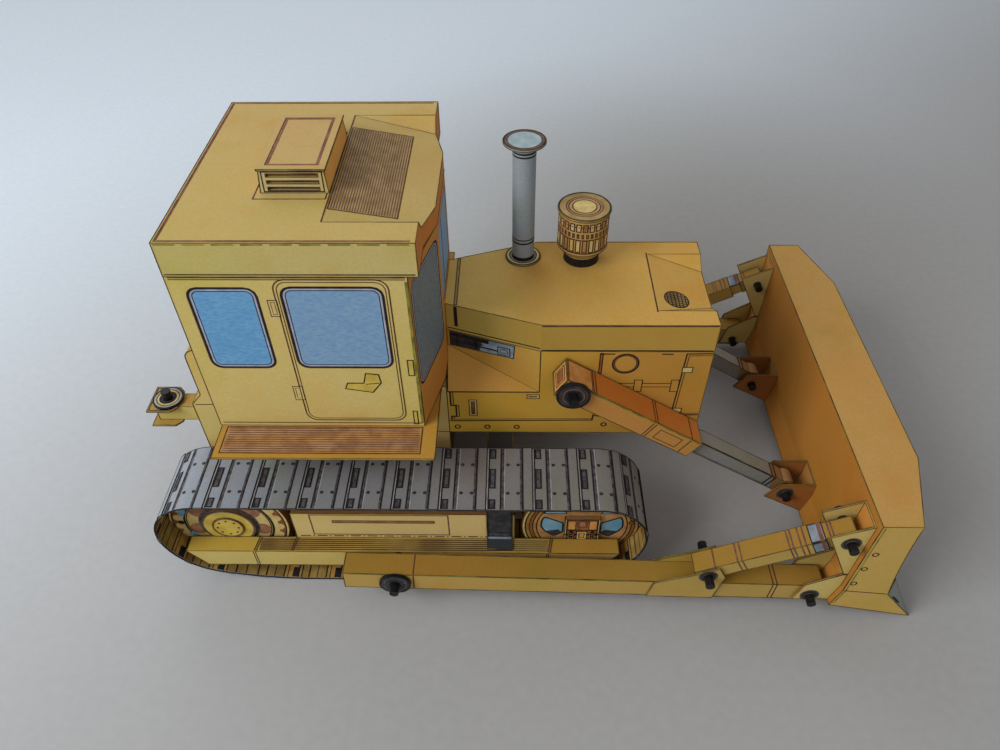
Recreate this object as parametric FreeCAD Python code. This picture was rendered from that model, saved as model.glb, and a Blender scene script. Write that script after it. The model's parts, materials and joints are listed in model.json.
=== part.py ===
import FreeCAD, Part
import math
import os

# Hand-coloured card model of a tracked bulldozer at 1:25, in millimetres.
# X is forward, +Y is the machine's left and Z is up. The origin lies on the ground, on the
# mid-plane, halfway between the drawbar's rear edge and the tip of the cutting edge.

# Card and fits
CARD = 0.6
WALL = 1.0
PLATE = 0.5
PIN_R = 1.5
PIN_PLAY = 0.05
PIN_SIDES = 16
DISC_SIDES = 32
DRUM_SIDES = 40
CORNER_STEPS = 3
SLIDE_PLAY = 0.3
DRUM_PLAY = 0.2

# Engine box, lower case and cowl
HULL_HALF = 21.95
HULL_FRONT_X = 65.3
HULL_FRONT_Z = 42.1
HULL_SLOPE_X = 45.5
HULL_BOTTOM_Z = 37.2
HULL_REAR_X = -89.8
COWL_BOTTOM_Z = 57.3
COWL_FRONT_X = 10.8
BAND_BOTTOM_Z = 75.7
HOOD_TOP_Z = 86.5
HOOD_REAR_HALF = 11.5
COWL_FOLD_Z = 69.1
CASE_FRONT_X = -20.0
CASE_REAR_X = -107.0
CASE_BOTTOM_Z = 14.0
CASE_CHAMFER = 8.0
FINAL_DRIVE_R = 9.0

# Radiator recess in the hood: where it starts, its drop at the front, its half width
HOOD_RECESS_X = 47.5
HOOD_RECESS_DROP = 3.5
HOOD_RECESS_HALF = 15.0
HOOD_RECESS_RUN = 1.55

# Cab
CAB_REAR_X = -89.8
CAB_SIDE_FRONT_X = -25.6
CAB_NOSE_X = -19.6
CAB_HALF = 39.6
CAB_NOSE_HALF = 15.0
FLOOR_Z = 60.1
ROOF_BAND_Z = 118.2
ROOF_TOP_Z = 128.8
ROOF_FRONT_X = -22.6
ROOF_NOSE_HALF = 26.2
ROOF_RECESS_X = -48.1
ROOF_RECESS_DROP = 4.9
ROOF_RECESS_HALF = 30.2
ROOF_RECESS_RUN = 0.93
FENDER_REAR_X = -89.4
FENDER_FRONT_X = -21.5
FENDER_HALF = 53.0

# Window panes, pressed into the card: wall, start and end along it, sill, head
PANE_SINK = 0.15
PANE_ROUND = 3.3
CAB_WINDOWS = (("side", -85.6, -66.2, 84.8, 114.8),
               ("side", -60.4, -32.2, 84.9, 115.1),
               ("facet", 1.0, 24.6, 75.6, 115.0),
               ("nose", -14.0, 14.0, 88.0, 115.0),
               ("rear", -33.0, 33.0, 88.5, 115.0))

# Air box on the roof, with three louvres in each side and a panel pressed into its lid
VENT_BACK = 0.8
VENT_LENGTH = 17.8
VENT_HALF = 15.4
VENT_RISE = 7.25
VENT_FLARE = 0.5
VENT_LID_LIP = 0.4
LOUVRE_MARGIN = 1.8
LOUVRE_DEPTH = 0.8
LOUVRES = 3
LOUVRE_HEIGHT = 1.0
LOUVRE_PITCH = 1.95
LOUVRE_START = 0.75
PANEL_MARGIN = 1.5
PANEL_SINK = 0.15

# Exhaust stack and air pre-cleaner, both left of the mid-plane, set in from the hood's side
STACK_X = 5.3
STACK_INSET = 8.35
STACK_R = 3.65
STACK_BASE_R = 5.75
STACK_NECK_Z = 127.0
STACK_TOP_Z = 129.0
STACK_BELL_R = 6.5
CLEANER_X = 24.8
CLEANER_INSET = 8.75
CLEANER_NECK_R = 5.8
CLEANER_R = 8.2
CLEANER_LID_R = 8.5
CLEANER_BODY_Z = 90.2
CLEANER_TAPER = 2.4
CLEANER_TOP_Z = 106.2

# Fuel tank behind the cab, and the drawbar
TANK_HALF = 30.0
TANK_REAR_X = -102.0
TANK_UPPER_X = -98.3
TANK_SHOULDER_Z = 59.5
TANK_BEVEL = 4.2
TANK_TOP_Z = 83.0
TANK_ROUND = 3.2
DRAWBAR_REACH = 28.4
DRAWBAR_HEAD = 11.2
DRAWBAR_HALF = 6.5
DRAWBAR_TONGUE_HALF = 3.4
DRAWBAR_CORNER = 2.2
DRAWBAR_LOW_Z = 22.0
DRAWBAR_TOP_Z = 30.0
DRAWBAR_PIN_RUN = 6.6
DRAWBAR_PIN_R = 1.8
DRAWBAR_PIN_UP = 4.6
DRAWBAR_PIN_DOWN = 2.5
DRAWBAR_DISC_R = 5.7
DRAWBAR_DISC = 0.8

# Tracks: ends of the top run, radii of the band's corners and of its ramps down to the sole
TRACK_TOP_Z = 42.0
TRACK_TOP_REAR_X = -99.0
TRACK_TOP_FRONT_X = 29.8
TRACK_UPPER_R = 16.5
TRACK_LOWER_R = 22.0
TRACK_RAMP_R = 120.0
TRACK_SKIN = 0.6
TRACK_OUT_Y = 58.5
TRACK_IN_Y = 33.3
SHOES = 25
SHOE_PITCH = 14.878
SHOE_BAR = 0.25
SHOE_BAR_WIDTH = 3.0
FIRST_BAR_RUN = 310.4

# What lies inside the tracks
SPROCKET_X = -94.5
IDLER_X = 25.5
AXLE_Z = 21.0
DRUM_OUT_Y = 50.0
DRUM_IN_Y = 37.0
HUB_R = 9.0
HUB_OUT_Y = 51.1
HUB_CAP_R = 5.3
HUB_CAP_UP = 0.4
BLOCK_HALF_X = 5.8
BLOCK_LOW_Z = 13.6
BLOCK_TOP_Z = 27.0
FRAME_REAR_X = -72.0
FRAME_FRONT_X = 2.8
FRAME_LOW_Z = 15.5
FRAME_TOP_Z = 29.2
FRAME_IN_Y = 38.5
FRAME_OUT_Y = 51.4
GUARD_REAR_X = -108.7
GUARD_FRONT_X = 37.9
GUARD_LOW_Z = 7.3
GUARD_TOP_Z = 15.5
GUARD_END = 5.5
GUARD_OUT_Y = 57.2
BEAM_REAR_X = -6.5
BEAM_FRONT_X = 2.0
SADDLE_FOOT = 4.6

# Push arms and their pivots, and how far the blade's ends stand beyond the arms' centre lines
ARM_GAP = 2.4
BLADE_OVERHANG = 6.9
ARM_WIDTH = 7.8
ARM_HEIGHT = 8.3
ARM_PIVOT_X = -36.5
ARM_PIVOT_Z = 14.2
ARM_TAIL = 17.0
ARM_NOSE = 3.8
ARM_PIN_X = 100.2
ARM_PIN_Z = 9.0
ARM_FRONT_Z = 9.4
PIVOT_WASHER_R = 5.2
PIVOT_WASHER = 1.0
PIVOT_PIN_END = 3.4
PIN_HALF = 8.2

# Braces between push arm and blade
BRACE_REAR_X = 65.3
BRACE_REAR_Z = 19.5
BRACE_FRONT_X = 104.7
BRACE_FRONT_Z = 39.6
BRACE_HEIGHT = 5.6
BRACE_WIDTH = 7.0
BRACE_TAIL = 3.5
BRACE_BODY = 33.5
BRACE_COLLAR = 4.2
BRACE_COLLAR_INSET = 0.6
BRACE_EYE_WIDTH = 5.6
BRACE_NOSE = 2.6

# Gusset plates: run along the arm from the brace's rear pin, rise from the arm's lower face
GUSSET_OUTLINE = ((-18.4, 0.0), (-17.0, 8.0), (-5.2, 13.2), (2.6, 17.4), (5.3, 12.6), (3.6, 0.0))

# Blade, in profile: X and Z of its corners
BLADE_CENTRE_HALF = 44.5
BLADE_REAR_TOP_X = 109.7
BLADE_TOP_Z = 51.4
BLADE_HEEL_X = 108.7
BLADE_HEEL_Z = 15.7
BLADE_FOOT_X = 106.7
BLADE_FOOT_Z = 6.8
BLADE_CENTRE_TOP_X = 129.2
BLADE_END_TOP_X = 121.5
BLADE_CURVE_X = 120.6
BLADE_END_CURVE_X = 121.9
BLADE_CURVE_Z = 33.0
BLADE_TOE_X = 123.8
BLADE_TOE_Z = 13.5
EDGE_TIP_X = 135.4
EDGE_TOP_X = 123.0
EDGE_TOP_Z = 23.2

# Lift cylinders, and their gap to the engine box
BARREL_GAP = 0.55
TRUNNION_X = 20.9
TRUNNION_Z = 67.5
LIFT_PIN_X = 99.0
LIFT_PIN_Z = 17.4
BARREL_WIDTH = 10.0
BARREL_HEIGHT = 7.6
BARREL_BACK = 4.7
BARREL_FRONT = 50.0
ROD_WIDTH = 6.0
ROD_HEIGHT = 5.6
ROD_INNER = 24.0
EYE_R = 3.9
EYE_SLOT_R = 2.7
TRUNNION_DISC_R = 5.4
TRUNNION_DISC = 1.2
TRUNNION_PIN_END = 3.0
BORE_START = 3.0
BRACKET_GAP = 0.6

# Brackets on the blade's rear face: X and Z of the cheeks' corners
BRACE_CHEEK = ((97.7, 42.6), (112.0, 49.4), (112.0, 22.6), (107.4, 22.6))
ARM_CHEEK = ((95.0, 7.0), (97.2, 15.5), (107.4, 22.0), (112.0, 22.0), (112.0, 7.0))
LIFT_CHEEK = ((92.2, 15.8), (96.4, 22.0), (112.0, 22.0), (112.0, 7.4), (106.9, 7.4))

V = FreeCAD.Vector
SIDES = (("right", -1), ("left", 1))
STACK_Y = HULL_HALF - STACK_INSET
CLEANER_Y = HULL_HALF - CLEANER_INSET
LIFT_Y = HULL_HALF + BARREL_GAP + BARREL_WIDTH / 2


def prism_y(corners, low_y, high_y):
    """Profile of (x, z) corners, extruded between two Y positions."""
    points = [V(x, low_y, z) for x, z in corners]
    face = Part.Face(Part.makePolygon(points + points[:1]))
    return face.extrude(V(0, high_y - low_y, 0))


def prism_z(corners, low_z, high_z):
    """Plan of (x, y) corners, extruded between two heights."""
    points = [V(x, y, low_z) for x, y in corners]
    face = Part.Face(Part.makePolygon(points + points[:1]))
    return face.extrude(V(0, 0, high_z - low_z))


def block(low, high):
    """Box between two opposite corners."""
    size = [b - a for a, b in zip(low, high)]
    return Part.makeBox(size[0], size[1], size[2], V(*low))


def side_span(side, inner, outer):
    """Y range of a piece that lies between two distances from the mid-plane."""
    return sorted((side * inner, side * outer))


def side_prism(corners, side, inner, outer):
    low, high = side_span(side, inner, outer)
    return prism_y(corners, low, high)


def side_rod(x, z, radius, side, inner, outer):
    """Round bar along Y between two distances from the mid-plane."""
    low, high = side_span(side, inner, outer)
    return Part.makeCylinder(radius, high - low, V(x, low, z), V(0, 1, 0))


def many_sided(across, up, radius, sides):
    """Corners of a regular outline about a centre."""
    turns = [2 * math.pi * number / sides for number in range(sides)]
    return [(across + radius * math.cos(turn), up + radius * math.sin(turn)) for turn in turns]


def side_pin(x, z, radius, side, inner, outer, sides=PIN_SIDES):
    """Many-sided bar or disc along Y, for what does not turn and for its holes."""
    return side_prism(many_sided(x, z, radius, sides), side, inner, outer)


def side_block(side, xs, ys, zs):
    low, high = side_span(side, ys[0], ys[1])
    return block((xs[0], low, zs[0]), (xs[1], high, zs[1]))


def rounded(start, end, low, high, radius):
    """Corners of a rectangle whose round corners have a few flat steps."""
    points = []
    centres = ((end - radius, high - radius), (start + radius, high - radius))
    centres += ((start + radius, low + radius), (end - radius, low + radius))
    for number, (across, up) in enumerate(centres):
        for step in range(CORNER_STEPS + 1):
            turn = math.pi / 2 * (number + step / CORNER_STEPS)
            points.append((across + radius * math.cos(turn), up + radius * math.sin(turn)))
    return points


def turned(profile, x, y):
    """Solid of revolution about a vertical axis, from (radius, z) corners."""
    points = [V(r, 0, z) for r, z in profile]
    face = Part.Face(Part.makePolygon(points + points[:1]))
    solid = face.revolve(V(0, 0, 0), V(0, 0, 1), 360)
    solid.translate(V(x, y, 0))
    return solid


def polyhedron(corners, faces):
    """Closed solid from named corner points and the corner names of each face."""
    sheets = []
    for names in faces:
        ring = [V(*corners[name]) for name in names]
        sheets.append(Part.Face(Part.makePolygon(ring + ring[:1])))
    solid = Part.Solid(Part.Shell(sheets))
    if solid.Volume < 0:
        solid.reverse()
    return solid


def along(start, end, distance, lift=0.0):
    """Point in the XZ plane at a distance along a line, lifted square to it."""
    length = math.hypot(end[0] - start[0], end[1] - start[1])
    dx = (end[0] - start[0]) / length
    dz = (end[1] - start[1]) / length
    return (start[0] + dx * distance - dz * lift, start[1] + dz * distance + dx * lift)


def beam(start, end, first, last, height, side, inner, outer):
    """Straight bar of rectangular section along a line in the XZ plane."""
    half = height / 2
    corners = [along(start, end, first, -half), along(start, end, last, -half)]
    corners += [along(start, end, last, half), along(start, end, first, half)]
    return side_prism(corners, side, inner, outer)


def recess(rear_x, front_x, top_z, drop, half_width, run):
    """Wedge cut out of a top face: a floor that slopes forward, between slanted cheeks."""
    margin = half_width
    ahead = front_x + margin
    depth = drop * (ahead - rear_x) / (front_x - rear_x)
    corners = [(rear_x, top_z), (ahead, top_z - depth), (ahead, top_z + margin), (rear_x, top_z + margin)]
    slope = prism_y(corners, -half_width, half_width)
    cheeks = [(half_width, top_z), (half_width - run * depth, top_z - depth)]
    cheeks += [(-y, z) for y, z in reversed(cheeks)]
    cheeks += [(-half_width, top_z + margin), (half_width, top_z + margin)]
    points = [V(rear_x, y, z) for y, z in cheeks]
    trough = Part.Face(Part.makePolygon(points + points[:1])).extrude(V(ahead - rear_x, 0, 0))
    return slope.common(trough)


def bore(shape, places, side, radius=PIN_R + PIN_PLAY):
    """Round holes along Y through a side piece, at (x, z) places."""
    for x, z in places:
        shape = shape.cut(side_rod(x, z, radius, side, 0, ARM_Y * 2))
    return shape


def pin_holes(shape, places, side):
    """Many-sided holes along Y through a side piece, at (x, z) places."""
    for x, z in places:
        shape = shape.cut(side_pin(x, z, PIN_R + PIN_PLAY, side, 0, ARM_Y * 2))
    return shape


def engine_box():
    corners = [(CASE_FRONT_X, HULL_BOTTOM_Z), (HULL_SLOPE_X, HULL_BOTTOM_Z), (HULL_FRONT_X, HULL_FRONT_Z)]
    corners += [(HULL_FRONT_X, BAND_BOTTOM_Z), (COWL_FRONT_X, BAND_BOTTOM_Z), (COWL_FRONT_X, COWL_BOTTOM_Z)]
    corners += [(CASE_FRONT_X, COWL_BOTTOM_Z)]
    return prism_y(corners, -HULL_HALF, HULL_HALF)


def rear_body():
    """Box under the cab floor, from the lower case's top to the fender plate."""
    return block((HULL_REAR_X, -HULL_HALF, HULL_BOTTOM_Z), (CASE_FRONT_X, HULL_HALF, FLOOR_Z - CARD))


def lower_case():
    """Transmission case with the final drives that carry the sprockets."""
    corners = [(CASE_REAR_X, HULL_BOTTOM_Z), (CASE_REAR_X, CASE_BOTTOM_Z + CASE_CHAMFER)]
    corners += [(CASE_REAR_X + CASE_CHAMFER, CASE_BOTTOM_Z), (CASE_FRONT_X - CASE_CHAMFER, CASE_BOTTOM_Z)]
    corners += [(CASE_FRONT_X, CASE_BOTTOM_Z + CASE_CHAMFER), (CASE_FRONT_X, HULL_BOTTOM_Z)]
    case = prism_y(corners, -HULL_HALF, HULL_HALF)
    drive = side_rod(SPROCKET_X, AXLE_Z, FINAL_DRIVE_R, 1, -DRUM_IN_Y, DRUM_IN_Y)
    return case.fuse(drive)


def cowl():
    """Faceted body between the engine box and the narrow rear end of the hood, folded on each side
    along a line that falls forward from under the hood's rear end."""
    corners = {}
    faces = [("rear_low_left", "rear_low_right", "front_low_right", "front_low_left")]
    faces += [("rear_top_left", "rear_top_right", "front_top_right", "front_top_left")]
    faces += [("rear_low_left", "rear_low_right", "rear_fold_right", "rear_top_right", "rear_top_left",
               "rear_fold_left")]
    faces += [("front_low_left", "front_low_right", "front_top_right", "front_top_left")]
    for name, side in SIDES:
        corners["rear_low_" + name] = (CAB_NOSE_X, side * HULL_HALF, COWL_BOTTOM_Z)
        corners["front_low_" + name] = (COWL_FRONT_X, side * HULL_HALF, COWL_BOTTOM_Z)
        corners["front_top_" + name] = (COWL_FRONT_X, side * HULL_HALF, BAND_BOTTOM_Z)
        corners["rear_fold_" + name] = (CAB_NOSE_X, side * HOOD_REAR_HALF, COWL_FOLD_Z)
        corners["rear_top_" + name] = (CAB_NOSE_X, side * HOOD_REAR_HALF, BAND_BOTTOM_Z)
        faces += [("rear_low_" + name, "front_low_" + name, "rear_fold_" + name)]
        faces += [("front_low_" + name, "front_top_" + name, "rear_top_" + name, "rear_fold_" + name)]
    return polyhedron(corners, faces)


def hood():
    corners = [(CAB_NOSE_X, -HOOD_REAR_HALF), (COWL_FRONT_X, -HULL_HALF), (HULL_FRONT_X, -HULL_HALF)]
    corners += [(HULL_FRONT_X, HULL_HALF), (COWL_FRONT_X, HULL_HALF), (CAB_NOSE_X, HOOD_REAR_HALF)]
    cover = prism_z(corners, BAND_BOTTOM_Z, HOOD_TOP_Z)
    dip = recess(HOOD_RECESS_X, HULL_FRONT_X, HOOD_TOP_Z, HOOD_RECESS_DROP, HOOD_RECESS_HALF,
                 HOOD_RECESS_RUN)
    return cover.cut(dip)


def exhaust_stack():
    profile = [(0, HOOD_TOP_Z), (STACK_BASE_R, HOOD_TOP_Z), (STACK_BASE_R, HOOD_TOP_Z + CARD)]
    profile += [(STACK_R, HOOD_TOP_Z + CARD), (STACK_R, STACK_NECK_Z), (STACK_BELL_R, STACK_TOP_Z - CARD)]
    profile += [(STACK_BELL_R, STACK_TOP_Z), (0, STACK_TOP_Z)]
    return turned(profile, STACK_X, STACK_Y)


def air_precleaner():
    profile = [(0, HOOD_TOP_Z), (CLEANER_NECK_R, HOOD_TOP_Z), (CLEANER_NECK_R, CLEANER_BODY_Z)]
    profile += [(CLEANER_R, CLEANER_BODY_Z + CLEANER_TAPER), (CLEANER_R, CLEANER_TOP_Z - CARD)]
    profile += [(CLEANER_LID_R, CLEANER_TOP_Z - CARD), (CLEANER_LID_R, CLEANER_TOP_Z), (0, CLEANER_TOP_Z)]
    return turned(profile, CLEANER_X, CLEANER_Y)


def cab_plan(inset):
    """Cab footprint with a faceted nose, moved inwards by a wall."""
    half = CAB_HALF - inset
    rear = CAB_REAR_X + inset
    nose = CAB_NOSE_X - inset
    shoulder = CAB_SIDE_FRONT_X - inset
    return [(rear, -half), (shoulder, -half), (nose, -CAB_NOSE_HALF), (nose, CAB_NOSE_HALF),
            (shoulder, half), (rear, half)]


def wall_place(wall, side):
    """Point and direction in plan that a wall's windows are measured from."""
    shoulder = V(CAB_SIDE_FRONT_X, side * CAB_HALF, 0)
    nose = V(CAB_NOSE_X, side * CAB_NOSE_HALF, 0)
    places = {"side": (V(0, side * CAB_HALF, 0), V(1, 0, 0)), "facet": (shoulder, nose - shoulder)}
    places["nose"] = (V(CAB_NOSE_X, 0, 0), V(0, -side, 0))
    places["rear"] = (V(CAB_REAR_X, 0, 0), V(0, side, 0))
    start, ahead = places[wall]
    return start, ahead.normalize()


def pane_cut(wall, side, start, end, low, high):
    """Shallow block that presses one window pane into its wall."""
    origin, ahead = wall_place(wall, side)
    outward = V(ahead.y, -ahead.x, 0) * -side
    foot = origin - outward * PANE_SINK
    corners = rounded(start, end, low, high, PANE_ROUND)
    points = [foot + ahead * run + V(0, 0, height) for run, height in corners]
    return Part.Face(Part.makePolygon(points + points[:1])).extrude(outward * WALL)


def cab_walls():
    shell = prism_z(cab_plan(0), FLOOR_Z, ROOF_BAND_Z)
    panes = [pane_cut(wall, side, *box) for wall, *box in CAB_WINDOWS for _, side in SIDES]
    return shell.cut(prism_z(cab_plan(WALL), FLOOR_Z, ROOF_BAND_Z)).cut(panes)


def cab_roof():
    corners = [(CAB_REAR_X, -CAB_HALF), (ROOF_FRONT_X, -CAB_HALF), (ROOF_FRONT_X, -ROOF_NOSE_HALF)]
    corners += [(CAB_NOSE_X, -CAB_NOSE_HALF), (CAB_NOSE_X, CAB_NOSE_HALF)]
    corners += [(ROOF_FRONT_X, ROOF_NOSE_HALF), (ROOF_FRONT_X, CAB_HALF), (CAB_REAR_X, CAB_HALF)]
    roof = prism_z(corners, ROOF_BAND_Z, ROOF_TOP_Z)
    dip = recess(ROOF_RECESS_X, CAB_NOSE_X, ROOF_TOP_Z, ROOF_RECESS_DROP, ROOF_RECESS_HALF, ROOF_RECESS_RUN)
    half = CAB_HALF - WALL
    rear_hollow = block((CAB_REAR_X + WALL, -half, ROOF_BAND_Z), (ROOF_RECESS_X, half, ROOF_TOP_Z - WALL))
    ceiling = ROOF_TOP_Z - ROOF_RECESS_DROP - WALL
    front_hollow = block((ROOF_RECESS_X - WALL, -half, ROOF_BAND_Z),
                         (CAB_SIDE_FRONT_X - WALL, half, ceiling))
    return roof.cut(dip).cut(rear_hollow).cut(front_hollow)


def roof_vent():
    front = ROOF_RECESS_X - VENT_BACK
    rear = front - VENT_LENGTH
    top = ROOF_TOP_Z + VENT_RISE
    rings = []
    for spread, height in ((VENT_FLARE, ROOF_TOP_Z), (0, top - CARD)):
        back, ahead, half = rear - spread, front + spread, VENT_HALF + spread
        corners = ((back, -half), (ahead, -half), (ahead, half), (back, half))
        ring = [V(x, y, height) for x, y in corners]
        rings.append(Part.makePolygon(ring + ring[:1]))
    body = Part.makeLoft(rings, True, True)
    slots = []
    for number in range(LOUVRES):
        low = ROOF_TOP_Z + LOUVRE_START + LOUVRE_PITCH * number
        for _, side in SIDES:
            slots.append(side_block(side, (rear + LOUVRE_MARGIN, front - LOUVRE_MARGIN),
                                    (VENT_HALF - LOUVRE_DEPTH, VENT_HALF + 1), (low, low + LOUVRE_HEIGHT)))
    lip = VENT_LID_LIP
    lid = block((rear - lip, -VENT_HALF - lip, top - CARD), (front + lip, VENT_HALF + lip, top))
    edge = PANEL_MARGIN
    panel = block((rear + edge, edge - VENT_HALF, top - PANEL_SINK),
                  (front - edge, VENT_HALF - edge, top + 1))
    return body.cut(slots).fuse(lid).cut(panel)


def fender_plate():
    return block((FENDER_REAR_X, -FENDER_HALF, FLOOR_Z - CARD), (FENDER_FRONT_X, FENDER_HALF, FLOOR_Z))


def fuel_tank():
    """Tank behind the cab, with a bevelled shoulder and a rounded upper rear edge."""
    round_x = TANK_UPPER_X + TANK_ROUND
    round_z = TANK_TOP_Z - TANK_ROUND
    half_turn = TANK_ROUND * math.sqrt(0.5)
    path = [(round_x, TANK_TOP_Z), (CAB_REAR_X, TANK_TOP_Z), (CAB_REAR_X, HULL_BOTTOM_Z)]
    path += [(TANK_REAR_X, HULL_BOTTOM_Z), (TANK_REAR_X, TANK_SHOULDER_Z)]
    path += [(TANK_UPPER_X, TANK_SHOULDER_Z + TANK_BEVEL), (TANK_UPPER_X, round_z)]
    points = [V(x, -TANK_HALF, z) for x, z in path]
    edges = [Part.makeLine(a, b) for a, b in zip(points, points[1:])]
    middle = V(round_x - half_turn, -TANK_HALF, round_z + half_turn)
    edges.append(Part.Arc(points[-1], middle, points[0]).toShape())
    return Part.Face(Part.Wire(edges)).extrude(V(0, TANK_HALF * 2, 0))


DRAWBAR_REAR_X = CASE_REAR_X - DRAWBAR_REACH
DRAWBAR_PIN_X = DRAWBAR_REAR_X + DRAWBAR_PIN_RUN


def drawbar():
    """Tongue out of the lower case, with a plate above and below its head."""
    head_front = DRAWBAR_REAR_X + DRAWBAR_HEAD
    corner = DRAWBAR_CORNER
    plan = [(DRAWBAR_REAR_X, -DRAWBAR_HALF), (head_front - corner, -DRAWBAR_HALF)]
    plan += [(head_front, -DRAWBAR_HALF + corner), (head_front, DRAWBAR_HALF - corner)]
    plan += [(head_front - corner, DRAWBAR_HALF), (DRAWBAR_REAR_X, DRAWBAR_HALF)]
    upper = prism_z(plan, DRAWBAR_TOP_Z - PLATE, DRAWBAR_TOP_Z)
    lower = prism_z(plan, DRAWBAR_LOW_Z, DRAWBAR_LOW_Z + PLATE)
    half = DRAWBAR_TONGUE_HALF
    tongue = block((DRAWBAR_REAR_X + corner, -half, DRAWBAR_LOW_Z + PLATE),
                   (CASE_REAR_X, half, DRAWBAR_TOP_Z - PLATE))
    hole = Part.makeCylinder(DRAWBAR_PIN_R + PIN_PLAY, DRAWBAR_TOP_Z, V(DRAWBAR_PIN_X, 0, 0))
    return tongue.fuse([upper, lower]).cut(hole)


def drawbar_pin():
    foot = DRAWBAR_LOW_Z - DRAWBAR_PIN_DOWN
    height = DRAWBAR_TOP_Z + DRAWBAR_PIN_UP - foot
    pin = Part.makeCylinder(DRAWBAR_PIN_R, height, V(DRAWBAR_PIN_X, 0, foot))
    rim = many_sided(DRAWBAR_PIN_X, 0, DRAWBAR_DISC_R, DISC_SIDES)
    disc = prism_z(rim, DRAWBAR_TOP_Z, DRAWBAR_TOP_Z + DRAWBAR_DISC)
    return pin.fuse(disc)


def equalizer_bar():
    """Cross bar under the hull that rests on both track frames, with a saddle at each end."""
    bar = block((BEAM_REAR_X, -FRAME_OUT_Y, FRAME_TOP_Z), (BEAM_FRONT_X, FRAME_OUT_Y, HULL_BOTTOM_Z))
    length = (BEAM_REAR_X, BEAM_FRONT_X)
    saddles = []
    for _, side in SIDES:
        face = (FRAME_OUT_Y, FRAME_OUT_Y + CARD)
        saddles.append(side_block(side, length, face, (GUARD_TOP_Z + CARD, HULL_BOTTOM_Z)))
        foot = (FRAME_OUT_Y, FRAME_OUT_Y + SADDLE_FOOT)
        saddles.append(side_block(side, length, foot, (GUARD_TOP_Z, GUARD_TOP_Z + CARD)))
    return bar.fuse(saddles)


def track_legs():
    """Radius and length of each part of the band's outer line, clockwise from the top run's rear
    end. A straight run has no radius."""
    corner_z = TRACK_TOP_Z - TRACK_UPPER_R
    tighten = TRACK_LOWER_R - TRACK_UPPER_R
    reach = TRACK_RAMP_R - TRACK_LOWER_R
    ramp = math.acos((TRACK_RAMP_R - corner_z) / reach)
    top = TRACK_TOP_FRONT_X - TRACK_TOP_REAR_X
    sole = top - 2 * (tighten + reach * math.sin(ramp))
    turns = ((TRACK_UPPER_R, math.pi / 2), (TRACK_LOWER_R, math.pi / 2 - ramp), (TRACK_RAMP_R, ramp))
    down = [(radius, radius * turn) for radius, turn in turns]
    return [(0, top)] + down + [(0, sole)] + down[::-1]


TRACK_LEGS = track_legs()
TRACK_RUN = sum(length for _, length in TRACK_LEGS)


def track_point(run, inset=0.0):
    """X, Z and heading at a distance along the band's outer line, moved inwards."""
    x, z, heading = TRACK_TOP_REAR_X, TRACK_TOP_Z, 0.0
    for radius, length in TRACK_LEGS:
        part = min(run, length)
        run -= part
        if radius:
            ahead = heading + part / radius
            x += radius * (math.sin(ahead) - math.sin(heading))
            z += radius * (math.cos(ahead) - math.cos(heading))
            heading = ahead
        else:
            x += part * math.cos(heading)
            z -= part * math.sin(heading)
    return x - inset * math.sin(heading), z - inset * math.cos(heading), heading


def track_fill(inset, side):
    """Block that fills the band's outer line, moved inwards, as wide as the track."""
    low, high = side_span(side, TRACK_IN_Y, TRACK_OUT_Y)
    edges = []
    run = 0.0
    for radius, length in TRACK_LEGS:
        places = [track_point(run + length * share, inset) for share in (0, 0.5, 1)]
        first, middle, last = [V(x, low, z) for x, z, _ in places]
        edges.append(Part.Arc(first, middle, last).toShape() if radius else Part.makeLine(first, last))
        run += length
    return Part.Face(Part.Wire(edges)).extrude(V(0, high - low, 0))


def track(side):
    """Closed band of card whose shoes each end in a raised bar. Its two ends meet in a short shoe."""
    low, high = side_span(side, TRACK_IN_Y, TRACK_OUT_Y)
    band = track_fill(SHOE_BAR, side).cut(track_fill(TRACK_SKIN, side))
    half = SHOE_BAR_WIDTH / 2
    strip = block((-half, low, -2 * SHOE_BAR), (half, high, SHOE_BAR))
    bars = []
    for number in range(SHOES):
        x, z, heading = track_point((FIRST_BAR_RUN + SHOE_PITCH * number) % TRACK_RUN)
        bar = strip.copy()
        bar.rotate(V(0, 0, 0), V(0, 1, 0), math.degrees(heading))
        bar.translate(V(x, 0, z))
        bars.append(bar)
    bars = Part.makeCompound(bars).common(track_fill(0, side))
    return band.fuse(bars.Solids).removeSplitter()


def drum(x, side):
    """Many-sided drum that fills one end of the band, flattened where the band runs close to it."""
    inset = TRACK_SKIN + DRUM_PLAY
    radius = TRACK_TOP_Z - AXLE_Z - inset
    disc = side_pin(x, AXLE_Z, radius, side, DRUM_IN_Y, DRUM_OUT_Y, DRUM_SIDES)
    return disc.common(track_fill(inset, side))


def sprocket(side):
    hub = side_pin(SPROCKET_X, AXLE_Z, HUB_R, side, DRUM_OUT_Y, HUB_OUT_Y, DISC_SIDES)
    cap = side_pin(SPROCKET_X, AXLE_Z, HUB_CAP_R, side, HUB_OUT_Y, HUB_OUT_Y + HUB_CAP_UP, DISC_SIDES)
    return drum(SPROCKET_X, side).fuse([hub, cap])


def idler(side):
    """Front drum, carried on the side guard by its bearing block."""
    bearing = side_block(side, (IDLER_X - BLOCK_HALF_X, IDLER_X + BLOCK_HALF_X), (DRUM_OUT_Y, FRAME_OUT_Y),
                         (BLOCK_LOW_Z, BLOCK_TOP_Z))
    return drum(IDLER_X, side).fuse(bearing)


def track_frame(side):
    return side_block(side, (FRAME_REAR_X, FRAME_FRONT_X), (FRAME_IN_Y, FRAME_OUT_Y),
                      (FRAME_LOW_Z, FRAME_TOP_Z))


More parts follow.
